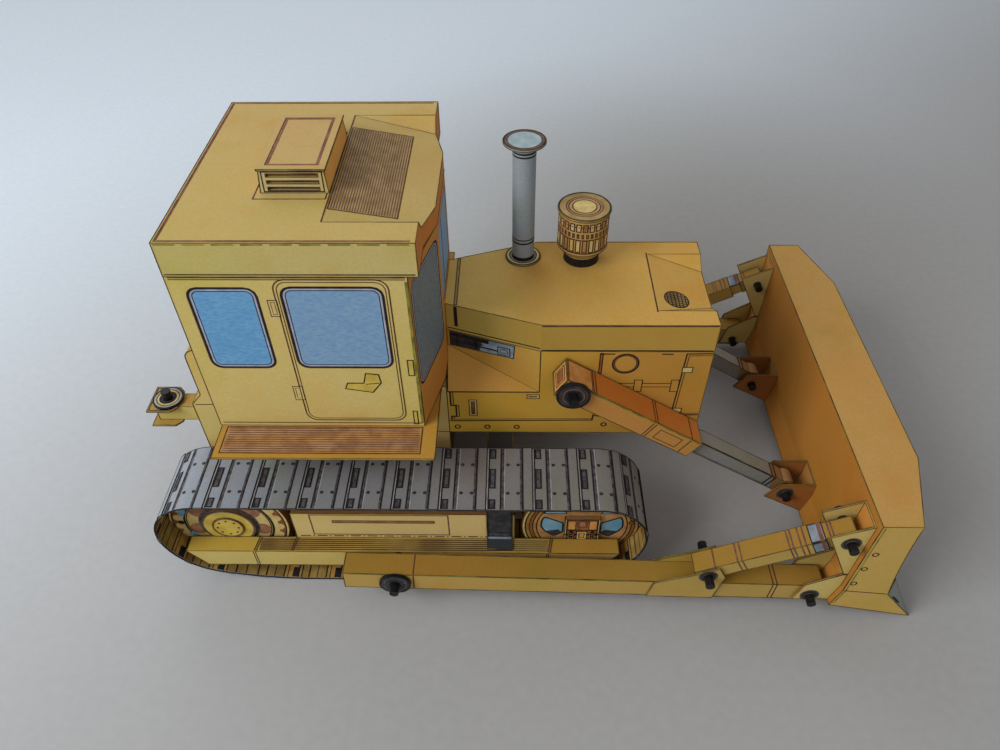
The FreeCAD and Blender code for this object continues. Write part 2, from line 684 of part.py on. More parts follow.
def side_guard(side):
    """Roller guard beam along the track, its ends cut back towards the bottom."""
    corners = [(GUARD_REAR_X, GUARD_TOP_Z), (GUARD_REAR_X + GUARD_END, GUARD_LOW_Z)]
    corners += [(GUARD_FRONT_X - GUARD_END, GUARD_LOW_Z), (GUARD_FRONT_X, GUARD_TOP_Z)]
    return side_prism(corners, side, FRAME_OUT_Y, GUARD_OUT_Y)


ARM_Y = GUARD_OUT_Y + ARM_GAP + ARM_WIDTH / 2
BLADE_HALF = ARM_Y + BLADE_OVERHANG
ARM_LINE = ((ARM_PIVOT_X, ARM_PIVOT_Z), (ARM_PIN_X, ARM_FRONT_Z))
ARM_LENGTH = math.hypot(ARM_PIN_X - ARM_PIVOT_X, ARM_FRONT_Z - ARM_PIVOT_Z)
ARM_PIN = (ARM_PIN_X, ARM_PIN_Z)
ARM_INNER = ARM_Y - ARM_WIDTH / 2
ARM_OUTER = ARM_Y + ARM_WIDTH / 2
BRACE_LINE = ((BRACE_REAR_X, BRACE_REAR_Z), (BRACE_FRONT_X, BRACE_FRONT_Z))
BRACE_LENGTH = math.hypot(BRACE_FRONT_X - BRACE_REAR_X, BRACE_FRONT_Z - BRACE_REAR_Z)
LIFT_LINE = ((TRUNNION_X, TRUNNION_Z), (LIFT_PIN_X, LIFT_PIN_Z))
LIFT_LENGTH = math.hypot(LIFT_PIN_X - TRUNNION_X, LIFT_PIN_Z - TRUNNION_Z)
BLADE_BACK = ((BLADE_FOOT_X, BLADE_FOOT_Z), (BLADE_HEEL_X, BLADE_HEEL_Z), (BLADE_REAR_TOP_X, BLADE_TOP_Z))
CHEEK_HALF = ARM_WIDTH / 2 + PLATE * 2


def arm_pivot(side):
    """Pin out of the side guard that carries the push arm, with its washer outside."""
    arm_face = ARM_Y + ARM_WIDTH / 2
    washer_face = arm_face + SLIDE_PLAY
    outer_face = washer_face + PIVOT_WASHER
    pin = side_rod(ARM_PIVOT_X, ARM_PIVOT_Z, PIN_R, side, GUARD_OUT_Y, outer_face + PIVOT_PIN_END)
    washer = side_pin(ARM_PIVOT_X, ARM_PIVOT_Z, PIVOT_WASHER_R, side, washer_face, outer_face, DISC_SIDES)
    return pin.fuse(washer)


def push_arm(side):
    bar = beam(*ARM_LINE, -ARM_TAIL, ARM_LENGTH + ARM_NOSE, ARM_HEIGHT, side, ARM_INNER, ARM_OUTER)
    return pin_holes(bore(bar, [ARM_LINE[0]], side), [ARM_PIN], side)


def arm_gussets(side):
    """Plates on both faces of the push arm that carry the brace's rear pin."""
    foot = -ARM_HEIGHT / 2
    pin_run = BRACE_REAR_X - ARM_PIVOT_X
    corners = [along(*ARM_LINE, pin_run + run, foot + rise) for run, rise in GUSSET_OUTLINE]
    plates = side_prism(corners, side, ARM_INNER - PLATE, ARM_INNER)
    outer = side_prism(corners, side, ARM_OUTER, ARM_OUTER + PLATE)
    pair = Part.makeCompound([plates, outer])
    return pin_holes(pair, [BRACE_LINE[0]], side)


def tilt_brace(side):
    """Rear bar, round-cornered collar and front eye, pinned at both ends."""
    half = BRACE_WIDTH / 2
    rear = beam(*BRACE_LINE, -BRACE_TAIL, BRACE_BODY, BRACE_HEIGHT, side, ARM_Y - half, ARM_Y + half)
    collar_half = half - BRACE_COLLAR_INSET
    collar = beam(*BRACE_LINE, BRACE_BODY, BRACE_BODY + BRACE_COLLAR, BRACE_HEIGHT - BRACE_COLLAR_INSET * 2,
                  side, ARM_Y - collar_half, ARM_Y + collar_half)
    eye_half = BRACE_EYE_WIDTH / 2
    eye = beam(*BRACE_LINE, BRACE_BODY + BRACE_COLLAR, BRACE_LENGTH + BRACE_NOSE, BRACE_HEIGHT,
               side, ARM_Y - eye_half, ARM_Y + eye_half)
    return pin_holes(rear.fuse([collar, eye]), BRACE_LINE, side)


def bracket(outline, side, centre, half, hole):
    """Two cheek plates and the web that joins them against the blade's rear face."""
    deep = max(x for x, _ in outline) + half
    far = min(x for x, _ in outline) - half
    ends = (BLADE_BACK[-1][1], BLADE_BACK[0][1])
    behind = side_prism(list(BLADE_BACK) + [(deep, z) for z in ends], side, centre - half, centre + half)
    opening = [(x - PLATE, z) for x, z in BLADE_BACK] + [(far, z) for z in ends]
    space = side_prism(opening, side, centre - half + PLATE, centre + half - PLATE)
    solid = side_prism(outline, side, centre - half, centre + half)
    return pin_holes(solid.cut([behind, space]), [hole], side)


def brace_bracket(side):
    return bracket(BRACE_CHEEK, side, ARM_Y, CHEEK_HALF, BRACE_LINE[1])


def arm_bracket(side):
    return bracket(ARM_CHEEK, side, ARM_Y, CHEEK_HALF, ARM_PIN)


def lift_bracket(side):
    return bracket(LIFT_CHEEK, side, LIFT_Y, BARREL_WIDTH / 2 + BRACKET_GAP, LIFT_LINE[1])


def linkage_pins(side):
    """Pins of arm, brace and lift rod on one side of the blade frame."""
    pins = []
    places = ((ARM_PIN, ARM_Y), (BRACE_LINE[0], ARM_Y), (BRACE_LINE[1], ARM_Y), (LIFT_LINE[1], LIFT_Y))
    for (x, z), centre in places:
        pins.append(side_pin(x, z, PIN_R, side, centre - PIN_HALF, centre + PIN_HALF))
    return Part.makeCompound(pins)


def blade_section(y, top_x, curve_x):
    """Closed outline of the blade's box at one Y: back, foot, curved front."""
    heel = V(BLADE_HEEL_X, y, BLADE_HEEL_Z)
    foot = V(BLADE_FOOT_X, y, BLADE_FOOT_Z)
    tip = V(EDGE_TIP_X, y, 0)
    toe = V(BLADE_TOE_X, y, BLADE_TOE_Z)
    front_top = V(top_x, y, BLADE_TOP_Z)
    rear_top = V(BLADE_REAR_TOP_X, y, BLADE_TOP_Z)
    curve = Part.Arc(toe, V(curve_x, y, BLADE_CURVE_Z), front_top).toShape()
    ring = [Part.makeLine(rear_top, heel), Part.makeLine(heel, foot), Part.makeLine(foot, tip)]
    ring += [Part.makeLine(tip, toe), curve, Part.makeLine(front_top, rear_top)]
    return Part.Wire(ring)


def blade():
    """Box blade whose front curls forward in the middle and flattens to the ends."""
    inner = BLADE_CENTRE_HALF
    centre = Part.Face(blade_section(-inner, BLADE_CENTRE_TOP_X, BLADE_CURVE_X)).extrude(V(0, inner * 2, 0))
    wings = []
    for _, side in SIDES:
        near = blade_section(side * inner, BLADE_CENTRE_TOP_X, BLADE_CURVE_X)
        far = blade_section(side * BLADE_HALF, BLADE_END_TOP_X, BLADE_END_CURVE_X)
        wings.append(Part.makeLoft([near, far], True, True))
    return centre.fuse(wings)


def cutting_edge():
    """Flat strip down the front of the blade to the ground."""
    corners = [(EDGE_TOP_X, EDGE_TOP_Z), (BLADE_TOE_X, BLADE_TOE_Z), (EDGE_TIP_X, 0)]
    return prism_y(corners, -BLADE_HALF, BLADE_HALF)


def lift_cylinder(side):
    """Square barrel, open at the front for the rod."""
    half = BARREL_WIDTH / 2
    barrel = beam(*LIFT_LINE, -BARREL_BACK, BARREL_FRONT, BARREL_HEIGHT, side, LIFT_Y - half, LIFT_Y + half)
    bore_half = ROD_WIDTH / 2 + SLIDE_PLAY
    hollow = beam(*LIFT_LINE, BORE_START, BARREL_FRONT + 1, ROD_HEIGHT + SLIDE_PLAY * 2, side,
                  LIFT_Y - bore_half, LIFT_Y + bore_half)
    return bore(barrel.cut(hollow), [LIFT_LINE[0]], side)


def lift_trunnion(side):
    """Pin out of the hull's side that carries the cylinder, with its washer outside."""
    washer_face = LIFT_Y + BARREL_WIDTH / 2 + SLIDE_PLAY
    outer_face = washer_face + TRUNNION_DISC
    washer = side_pin(TRUNNION_X, TRUNNION_Z, TRUNNION_DISC_R, side, washer_face, outer_face, DISC_SIDES)
    pin = side_rod(TRUNNION_X, TRUNNION_Z, PIN_R, side, HULL_HALF, outer_face + TRUNNION_PIN_END)
    return pin.fuse(washer)


def lift_rod(side):
    """Square rod with a round eye whose slot lets it drift about its pin."""
    half = ROD_WIDTH / 2
    bar = beam(*LIFT_LINE, ROD_INNER, LIFT_LENGTH, ROD_HEIGHT, side, LIFT_Y - half, LIFT_Y + half)
    eye = side_rod(LIFT_PIN_X, LIFT_PIN_Z, EYE_R, side, LIFT_Y - half, LIFT_Y + half)
    return bore(bar.fuse(eye), [LIFT_LINE[1]], side, EYE_SLOT_R)


CENTRE_PIECES = (engine_box, rear_body, lower_case, cowl, hood, exhaust_stack, air_precleaner,
                 cab_walls, cab_roof, roof_vent, fender_plate, fuel_tank, drawbar, drawbar_pin,
                 equalizer_bar, blade, cutting_edge)
SIDE_PIECES = (track, sprocket, idler, track_frame, side_guard, arm_pivot, push_arm, arm_gussets,
               tilt_brace, brace_bracket, arm_bracket, lift_bracket, linkage_pins, lift_cylinder,
               lift_trunnion, lift_rod)

os.makedirs("parts", exist_ok=True)
for piece in CENTRE_PIECES:
    piece().exportStep("parts/" + piece.__name__ + ".step")
for piece in SIDE_PIECES:
    for side_name, side_sign in SIDES:
        piece(side_sign).exportStep("parts/" + piece.__name__ + "_" + side_name + ".step")
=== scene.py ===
import json
import math
import bmesh
import bpy
from mathutils import Matrix, Vector


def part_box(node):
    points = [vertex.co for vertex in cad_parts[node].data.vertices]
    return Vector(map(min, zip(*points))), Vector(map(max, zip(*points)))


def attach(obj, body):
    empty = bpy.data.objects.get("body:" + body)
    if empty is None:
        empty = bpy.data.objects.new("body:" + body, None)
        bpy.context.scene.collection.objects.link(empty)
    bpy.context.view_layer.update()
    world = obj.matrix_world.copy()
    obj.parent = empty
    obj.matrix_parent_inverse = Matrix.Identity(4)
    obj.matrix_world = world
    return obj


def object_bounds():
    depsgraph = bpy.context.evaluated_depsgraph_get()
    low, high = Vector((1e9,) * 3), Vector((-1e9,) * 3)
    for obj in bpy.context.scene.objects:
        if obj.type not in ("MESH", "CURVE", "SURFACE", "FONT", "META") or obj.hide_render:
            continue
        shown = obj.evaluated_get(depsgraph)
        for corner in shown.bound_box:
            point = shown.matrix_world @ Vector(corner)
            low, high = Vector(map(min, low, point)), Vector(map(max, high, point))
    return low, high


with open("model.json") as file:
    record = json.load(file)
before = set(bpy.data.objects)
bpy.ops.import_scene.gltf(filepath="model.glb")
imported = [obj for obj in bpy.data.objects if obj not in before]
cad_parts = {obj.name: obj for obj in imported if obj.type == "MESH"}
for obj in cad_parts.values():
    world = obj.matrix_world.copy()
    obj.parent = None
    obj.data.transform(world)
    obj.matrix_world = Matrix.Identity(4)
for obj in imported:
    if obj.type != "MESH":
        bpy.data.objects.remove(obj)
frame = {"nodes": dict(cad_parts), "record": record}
cad_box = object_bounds()

# Units and print: drawings are in millimetres, and lie a hair above the card they are printed on
MM = 0.001
PRINT_LIFT = 0.02
PRINT_THICK = 0.03
LAYER_STEP = 0.04
FOLD_LINE = 0.34 * MM
FOLD_ANGLE = 30
PEN_WEIGHT = 1.3
ROUND_STEPS = 5
DISC_SIDES = 32

# Linkage: each bar's rear and front pin, seen from the side
ARM_REAR, ARM_FRONT = (-36.5, 14.2), (100.2, 9.4)
BRACE_REAR, BRACE_FRONT = (65.3, 19.5), (104.7, 39.6)
LIFT_REAR, LIFT_FRONT = (20.9, 67.5), (99.0, 17.4)
# Holes that turn on a pin: start of the node's name, the pin, and the radius without inked edges
PIN_HOLES = (("lift_rod", LIFT_FRONT, 3.4), ("push_arm", ARM_REAR, 3.2), ("lift_cylinder", LIFT_REAR, 3.0))

# Photograph's camera, in metres and degrees
CAMERA_PLACE = (0.00211, -0.19952, 0.240)
CAMERA_DOWN = 44.55
CAMERA_YAW = -1.38
CAMERA_ROLL = 0.77
CAMERA_NEAR = 0.01
SENSOR_WIDTH = 36
FOCAL_WIDTHS = 0.76701


def srgb(red, green, blue):
    """Linear colour from the eight-bit values of a paint swatch."""
    def linear(value):
        share = value / 255
        return share / 12.92 if share <= 0.04045 else ((share + 0.055) / 1.055) ** 2.4
    return (linear(red), linear(green), linear(blue), 1.0)


def grey(value):
    return (value, value, value, 1.0)


def add_node(tree, kind, **settings):
    node = tree.nodes.new("ShaderNode" + kind)
    for name, value in settings.items():
        setattr(node, name, value)
    return node


def socket(node, name, value):
    """Sets a node's input to a value, or links it to another node's output."""
    if isinstance(value, bpy.types.NodeSocket):
        node.id_data.links.new(value, node.inputs[name])
    else:
        node.inputs[name].default_value = value


def new_material(name, roughness):
    material = bpy.data.materials.new(name)
    material.use_nodes = True
    shader = material.node_tree.nodes["Principled BSDF"]
    socket(shader, "Roughness", roughness)
    socket(shader, "Specular IOR Level", 0.25)
    return material, material.node_tree, shader


def noise(tree, scale, detail=2.0, stretch=(1, 1, 1), turn=(0, 0, 0)):
    """Noise on the object's own coordinates."""
    mapping = add_node(tree, "Mapping")
    socket(mapping, "Scale", stretch)
    socket(mapping, "Rotation", turn)
    socket(mapping, "Vector", add_node(tree, "TexCoord").outputs["Object"])
    texture = add_node(tree, "TexNoise")
    socket(texture, "Scale", scale)
    socket(texture, "Detail", detail)
    socket(texture, "Vector", mapping.outputs["Vector"])
    return texture.outputs["Fac"]


def ramp(tree, factor, stops):
    """Colour ramp from (position, colour) stops."""
    node = add_node(tree, "ValToRGB")
    elements = node.color_ramp.elements
    elements[0].position, elements[0].color = stops[0]
    elements[1].position, elements[1].color = stops[-1]
    for position, colour in stops[1:-1]:
        elements.new(position).color = colour
    socket(node, "Fac", factor)
    return node.outputs["Color"]


# Among the mix node's sockets: its factor and its two colours, and its mixed colour
MIX_INPUTS = (0, 6, 7)
MIX_OUTPUT = 2


def mix(tree, factor, first, second, blend="MIX"):
    """Mixed colour; each input is a socket or a plain value."""
    node = add_node(tree, "Mix", data_type="RGBA", blend_type=blend)
    for place, value in zip(MIX_INPUTS, (factor, first, second)):
        socket(node, place, value)
    return node.outputs[MIX_OUTPUT]


def glaze(tree, base, colour, strength=1.0):
    """Thin colour over a base, which it darkens."""
    return mix(tree, strength, base, colour, "MULTIPLY")


def own_axis(tree, output, axis):
    """One axis of the object's own coordinates, or of the way its surface faces."""
    split = add_node(tree, "SeparateXYZ")
    socket(split, "Vector", add_node(tree, "TexCoord").outputs[output])
    return split.outputs[axis]


def facing(tree, axis, way=0, limit=0.62):
    """1 where the surface faces along an axis, either way or only the way of the sign, and 0 elsewhere."""
    size = add_node(tree, "Math", operation="MULTIPLY" if way else "ABSOLUTE")
    socket(size, 0, own_axis(tree, "Normal", axis))
    socket(size, 1, way)
    test = add_node(tree, "Math", operation="GREATER_THAN")
    socket(test, 0, size.outputs[0])
    socket(test, 1, limit)
    return test.outputs[0]


def fade(tree, value, low, high):
    """0 to 1, smoothly, while a value goes from low to high."""
    span = add_node(tree, "MapRange", interpolation_type="SMOOTHSTEP")
    socket(span, "From Min", low)
    socket(span, "From Max", high)
    socket(span, "Value", value)
    return span.outputs["Result"]


# Watercolour on the card: small washes and large blooms
WASH = ((0.30, (1.0, 0.90, 0.74, 1)), (0.43, grey(1.0)),
        (0.56, (1.0, 0.98, 0.92, 1)), (0.70, (0.90, 0.93, 0.70, 1)))
BLOOMS = ((0.32, (1.0, 0.88, 0.80, 1)), (0.48, grey(1.0)), (0.54, grey(1.0)), (0.68, (0.92, 0.98, 0.76, 1)))


def card(name, top, side, end, grain=0.11, tint=None, rear_end=None):
    """Hand-coloured card: one colour for each way a face looks, partly its print and partly painted light and
    shade, with watercolour blooms and pencil grain.

    A tint changes the colour along the machine: rear and front places, and ramp stops between them. On most
    cards the tint is painted window light that falls off towards the front; on the rod it gives the real
    orange end.
    """
    material, tree, shader = new_material(name, roughness=0.72)
    # Painted light and shade: each way a face looks gets its own tone, on top of the card's print
    base = mix(tree, facing(tree, "X"), srgb(*side), srgb(*end))
    if rear_end:
        base = mix(tree, facing(tree, "X", -1), base, srgb(*rear_end))
    base = mix(tree, facing(tree, "Z"), base, srgb(*top))
    # Tint along the machine: painted window light on most cards, the real orange end on the rod
    if tint:
        rear, front, stops = tint
        base = glaze(tree, base, ramp(tree, fade(tree, own_axis(tree, "Object", "X"), rear, front), stops))
    base = glaze(tree, base, ramp(tree, noise(tree, 55, 3.0), WASH), 0.85)
    base = glaze(tree, base, ramp(tree, noise(tree, 22, 2.0), BLOOMS), 0.6)
    pencil = ramp(tree, noise(tree, 1500, 4.0, (1.0, 1.0, 1.5)), ((0.30, grey(1 - grain)), (0.68, grey(1.0))))
    socket(shader, "Base Color", glaze(tree, base, pencil))
    bump = add_node(tree, "Bump")
    socket(bump, "Strength", 0.2)
    socket(bump, "Distance", 0.03 * MM)
    socket(bump, "Height", noise(tree, 2400, 2.0))
    socket(shader, "Normal", bump.outputs["Normal"])
    return material


def pen(name, dark, pale, scale=400, stretch=(1, 1, 1), turn=(0, 0, 0), roughness=0.62, low=0.36, high=0.64):
    """Pen, pencil or brush colour that varies along its run between two tones."""
    material, tree, shader = new_material(name, roughness)
    stops = ((low, srgb(*dark)), (high, srgb(*pale)))
    socket(shader, "Base Color", ramp(tree, noise(tree, scale, 3.0, stretch, turn), stops))
    return material


def pane_pencil(name, dark, pale):
    """Pencil laid over a pane in slanted strokes."""
    return pen(name, dark, pale, 640, (1.0, 1.0, 2.6), (0.0, math.radians(38), 0.0), 0.5, 0.3, 0.7)


# Card: colours of faces that look up or down, sideways, and along the machine, partly the card's print and
# partly painted light and shade
# Faces that look forwards get painted shade, orange; faces that look rearwards keep the sides' yellow
yellow_card = card("yellow_card", (196, 168, 102), (196, 177, 112), (206, 128, 54), rear_end=(204, 176, 104))
ochre_card = card("ochre_card", (176, 142, 76), (208, 184, 112), (202, 138, 62))
cleaner_card = card("cleaner_card", (204, 164, 96), (198, 158, 92), (190, 142, 80))
stack_card = card("stack_card", (140, 146, 150), (150, 162, 172), (146, 156, 164), 0.16)
vent_card = card("vent_card", (196, 164, 104), (194, 176, 128), (240, 176, 88))
fender_card = card("fender_card", (182, 136, 54), (196, 156, 70), (196, 150, 66))
# Painted window light: the hood's rear is paler and bluer, fading out towards the front
HOOD_PAINTED_LIGHT = (-0.012, 0.012, ((0.0, (1.2, 1.4, 1.8, 1)), (1.0, grey(1.0))))
hood_card = card("hood_card", (206, 162, 80), (182, 146, 64), (176, 124, 58), 0.11, HOOD_PAINTED_LIGHT)
# Partly painted window light and partly the card's colouring: the hull is paler and yellower at its rear,
# fading towards the front
HULL_TINT_AND_PAINTED_LIGHT = (-0.01, 0.05, ((0.0, (1.35, 1.6, 1.2, 1)), (1.0, grey(1.0))))
hull_card = card("hull_card", (196, 150, 70), (186, 138, 58), (150, 100, 44), 0.11, HULL_TINT_AND_PAINTED_LIGHT)
cowl_card = card("cowl_card", (204, 156, 74), (202, 158, 72), (190, 136, 66))
blade_card = card("blade_card", (192, 148, 80), (203, 167, 88), (178, 118, 44))
arm_card = card("arm_card", (158, 120, 46), (186, 154, 82), (172, 118, 52))
bracket_card = card("bracket_card", (164, 108, 52), (160, 102, 50), (176, 122, 62))
cylinder_card = card("cylinder_card", (200, 120, 44), (190, 136, 68), (206, 158, 82))
# Partly painted falloff of the window light and partly the card's colouring: the guard darkens and reddens
# towards the front
GUARD_TINT_AND_PAINTED_SHADE = (-0.07, 0.02, ((0.0, (0.86, 0.84, 0.78, 1)), (1.0, (0.72, 0.56, 0.56, 1))))
guard_card = card("guard_card", (194, 164, 66), (212, 192, 116), (190, 150, 80), 0.11, GUARD_TINT_AND_PAINTED_SHADE)
brown_card = card("brown_card", (150, 104, 60), (214, 188, 122), (140, 92, 52))
# Painted window light: the band's rear end is paler and bluer, its front a little darker and warmer
TRACK_PAINTED_LIGHT = (-0.116, 0.03, ((0.0, (1.5, 1.65, 1.85, 1)), (0.25, (1.04, 1.06, 1.1, 1)),
                             (1.0, (1.0, 0.92, 0.86, 1))))
track_card = card("track_card", (126, 126, 128), (120, 112, 92), (130, 134, 138), 0.16, TRACK_PAINTED_LIGHT)
ROD_TINT = (0.0935, 0.0940, ((0.0, grey(1.0)), (1.0, (1.15, 0.62, 0.28, 1))))
grey_card = card("grey_card", (132, 130, 128), (126, 128, 130), (124, 126, 128), 0.2)
rod_card = card("rod_card", (148, 145, 139), (132, 132, 130), (124, 126, 128), 0.2, ROD_TINT)
slate_card = card("slate_card", (52, 53, 56), (56, 58, 62), (52, 53, 56))
black_paint = pen("black_paint", (12, 12, 14), (30, 29, 30), 400, roughness=0.32)
fold_ink = pen("fold_ink", (54, 38, 26), (108, 94, 34), 150)

black = pen("black_ink", (18, 16, 20), (38, 32, 34))
brown = pen("brown_ink", (58, 34, 26), (96, 60, 42))
plum = pen("plum_ink", (92, 60, 52), (122, 84, 66))
red_pencil = pen("red_pencil", (104, 62, 48), (140, 94, 66), 220)
seal = pen("seal_ink", (146, 148, 166), (172, 172, 188))
collar = pen("collar_ink", (108, 114, 124), (142, 150, 158), 200)
shade = pen("shade_ink", (52, 48, 52), (92, 87, 90), 600)
blue_pane = pane_pencil("blue_pane", (84, 144, 192), (114, 164, 200))
pale_pane = pane_pencil("pale_pane", (104, 146, 186), (134, 162, 186))
dark_pane = pane_pencil("dark_pane", (98, 112, 120), (128, 138, 140))
grate = pen("grate_ink", (150, 122, 70), (178, 148, 92), 260)
tan = pen("tan_ink", (152, 108, 62), (184, 138, 84), 220)
clay = pen("clay_ink", (128, 86, 62), (162, 116, 84), 220)
bark = pen("bark_ink", (120, 94, 44), (156, 128, 64), 160)
rib = pen("rib_ink", (132, 100, 46), (172, 142, 70), 60)
lake = pen("lake_ink", (86, 136, 160), (130, 172, 188), 120)
slate = pen("slate_ink", (40, 41, 45), (64, 63, 66))
steel_pale = pen("steel_pale", (138, 140, 136), (166, 166, 160), 300)
steel_blue = pen("steel_blue", (112, 134, 150), (150, 166, 176), 300)
sky = pen("sky_ink", (146, 164, 168), (166, 182, 180), 300)
cream = pen("cream_ink", (194, 168, 102), (214, 190, 122), 300)
lemon = pen("lemon_ink", (186, 158, 62), (206, 178, 84), 300)
orange = pen("orange_ink", (190, 126, 62), (212, 154, 88), 300)
olive = pen("olive_ink", (96, 96, 34), (150, 138, 50), 260)
umber = pen("umber_ink", (112, 66, 34), (150, 96, 52), 300)
band = pen("band_ink", (140, 100, 44), (178, 138, 64), 220)

FINISHES = {"yellow_card": yellow_card, "ochre_card": ochre_card, "brown_card": brown_card,
            "track_card": track_card, "grey_card": grey_card, "black_pin": black_paint}
# Cards of their own tone, and how the names of their pieces start
OWN_TONES = ((fender_card, "fender_plate"), (hood_card, "hood"), (hull_card, "engine_box"),
             (cowl_card, "cowl"), (blade_card, "blade"), (arm_card, "push_arm", "arm_gussets", "tilt_brace"),
             (ochre_card, "brace_bracket", "arm_bracket"), (bracket_card, "lift_bracket"),
             (vent_card, "roof_vent"), (cleaner_card, "air_precleaner"), (stack_card, "exhaust_stack"),
             (cylinder_card, "lift_cylinder"), (rod_card, "lift_rod"), (guard_card, "side_guard"),
             (slate_card, "equalizer_bar"))
PINS = []
for part in frame["record"]["subparts"]:
    name, slot = part["node"], part["material_slot"]
    node = frame["nodes"][name]
    node.data.materials.clear()
    own = next((tone for tone, *starts in OWN_TONES if name.startswith(tuple(starts))), FINISHES[slot])
    node.data.materials.append(own)
    if slot == "black_pin":
        PINS.append(name)


def select_only(*pieces):
    if bpy.context.mode != "OBJECT":
        bpy.ops.object.mode_set(mode="OBJECT")
    bpy.ops.object.select_all(action="DESELECT")
    for piece in pieces:
        piece.select_set(True)
        bpy.context.view_layer.objects.active = piece


def drop_points(copy, unwanted):
    """Deletes the open mesh's points whose place is unwanted."""
    mesh = bmesh.from_edit_mesh(copy.data)
    for vertex in mesh.verts:
        vertex.select_set(unwanted(vertex.co))
    bpy.ops.mesh.select_mode(type="VERT")
    bpy.ops.mesh.delete(type="VERT")


def sharp_edges(node):
    """Copy of a CAD node that keeps only the edges to be inked."""
    select_only(frame["nodes"][node])
    bpy.ops.object.duplicate()
    copy = bpy.context.object
    bpy.ops.object.mode_set(mode="EDIT")
    bpy.ops.mesh.select_all(action="SELECT")
    bpy.ops.mesh.remove_doubles(threshold=0.001 * MM)
    bpy.ops.mesh.select_mode(type="EDGE")
    bpy.ops.mesh.select_all(action="DESELECT")
    bpy.ops.mesh.edges_select_sharp(sharpness=math.radians(FOLD_ANGLE))
    bpy.ops.mesh.select_all(action="INVERT")
    bpy.ops.mesh.delete(type="EDGE_FACE")
    if node == "cab_walls":
        # The panes pressed into the walls have their edges drawn with the windows
        low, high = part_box(node)
        drop_points(copy, lambda place: low[2] + MM < place.z < high[2] - MM)
    for start, (pin_x, pin_z), clear in PIN_HOLES:
        if node.startswith(start):
            drop_points(copy, lambda place: math.hypot(place.x / MM - pin_x, place.z / MM - pin_z) < clear)
    bpy.ops.object.mode_set(mode="OBJECT")
    return copy


def keep_inside_box(lines, margin):
    """Lines on the outermost faces move in by half their thickness."""
    for vertex in lines.data.vertices:
        for axis in range(3):
            low = cad_box[0][axis] + margin
            high = cad_box[1][axis] - margin
            vertex.co[axis] = min(max(vertex.co[axis], low), high)


def fold_lines(name, body, nodes, ink):
    """Inked folds and cut edges: each sharp edge of the card, drawn as a thin cord half sunk in it."""
    select_only(*[sharp_edges(node) for node in nodes])
    bpy.ops.object.join()
    keep_inside_box(bpy.context.object, FOLD_LINE / 2)
    bpy.ops.object.convert(target="CURVE")
    lines = bpy.context.object
    lines.data.bevel_depth = FOLD_LINE / 2
    lines.data.bevel_resolution = 0
    bpy.ops.object.convert(target="MESH")
    lines = bpy.context.object
    lines.name = name
    lines.data.materials.clear()
    lines.data.materials.append(ink)
    lines.parent = None
    keep_inside_box(lines, 0.0)
    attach(lines, body)


TRACKS = ["track_right", "track_left"]
COWL = ["cowl"]
for body, nodes in frame["record"]["behaviour"]["bodies"].items():
    brown_edged = [node for node in nodes if node not in TRACKS + COWL + PINS]
    fold_lines(body + "_fold_lines", body, brown_edged, fold_ink)
fold_lines("track_fold_lines", "chassis", TRACKS, black)
fold_lines("cowl_fold_lines", "chassis", COWL, black)


def start_print():
    """Empty drawing on the XY plane, in millimetres, open for editing."""
    select_only()
    bpy.ops.mesh.primitive_plane_add(size=1)
    bpy.ops.object.mode_set(mode="EDIT")
    bpy.ops.mesh.delete(type="VERT")


def close_print():
    """Gives the open drawing its thickness and closes it."""
    bpy.ops.mesh.select_all(action="SELECT")
    bpy.ops.mesh.extrude_region_move(TRANSFORM_OT_translate={"value": (0, 0, PRINT_THICK)})
    bpy.ops.object.mode_set(mode="OBJECT")
    return bpy.context.object


def give_ink(material):
    """Gives the selected faces of the open drawing their ink."""
    drawing = bpy.context.object
    if material.name not in drawing.data.materials:
        drawing.data.materials.append(material)
    drawing.active_material_index = drawing.data.materials.find(material.name)
    bpy.ops.object.material_slot_assign()


def nest(bands):
    """Bands from the selected outline inwards, as (ink, width) rows; no ink leaves bare card."""
    for material, width in bands:
        if material is None:
            bpy.ops.mesh.delete(type="FACE")
            return
        give_ink(material)
        if width:
            bpy.ops.mesh.inset(thickness=width)


def level(layer):
    return PRINT_LIFT + layer * LAYER_STEP


def patch(points, bands, corner=0.0, layer=0):
    """Flat outline through its corner points, rounded if asked, filled with nested bands."""
    bpy.ops.mesh.select_all(action="DESELECT")
    bpy.ops.mesh.primitive_circle_add(vertices=len(points), fill_type="NGON")
    mesh = bmesh.from_edit_mesh(bpy.context.object.data)
    face = next(entry for entry in mesh.faces if entry.select)
    for corner_loop, (across, up) in zip(face.loops, points):
        corner_loop.vert.co = (across, up, level(layer))
    bmesh.update_edit_mesh(bpy.context.object.data)
    if corner:
        bpy.ops.mesh.bevel(offset=corner, segments=ROUND_STEPS, affect="VERTICES")
    nest(bands)


def rect(left, low, right, high):
    return ((left, low), (right, low), (right, high), (left, high))


def fill(points, material, corner=0.0, layer=0):
    patch(points, ((material, 0),), corner, layer)


def outline(points, width, material, corner=0.0, layer=0):
    patch(points, ((material, width * PEN_WEIGHT), (None, 0)), corner, layer)


def disc(centre, radius, bands, layer=0, sides=DISC_SIDES):
    bpy.ops.mesh.select_all(action="DESELECT")
    bpy.ops.mesh.primitive_circle_add(vertices=sides, radius=radius, fill_type="NGON",
                                      location=(centre[0], centre[1], level(layer)))
    nest(bands)


def ring(centre, radius, width, material, layer=0, sides=DISC_SIDES):
    disc(centre, radius, ((material, width * PEN_WEIGHT), (None, 0)), layer, sides)


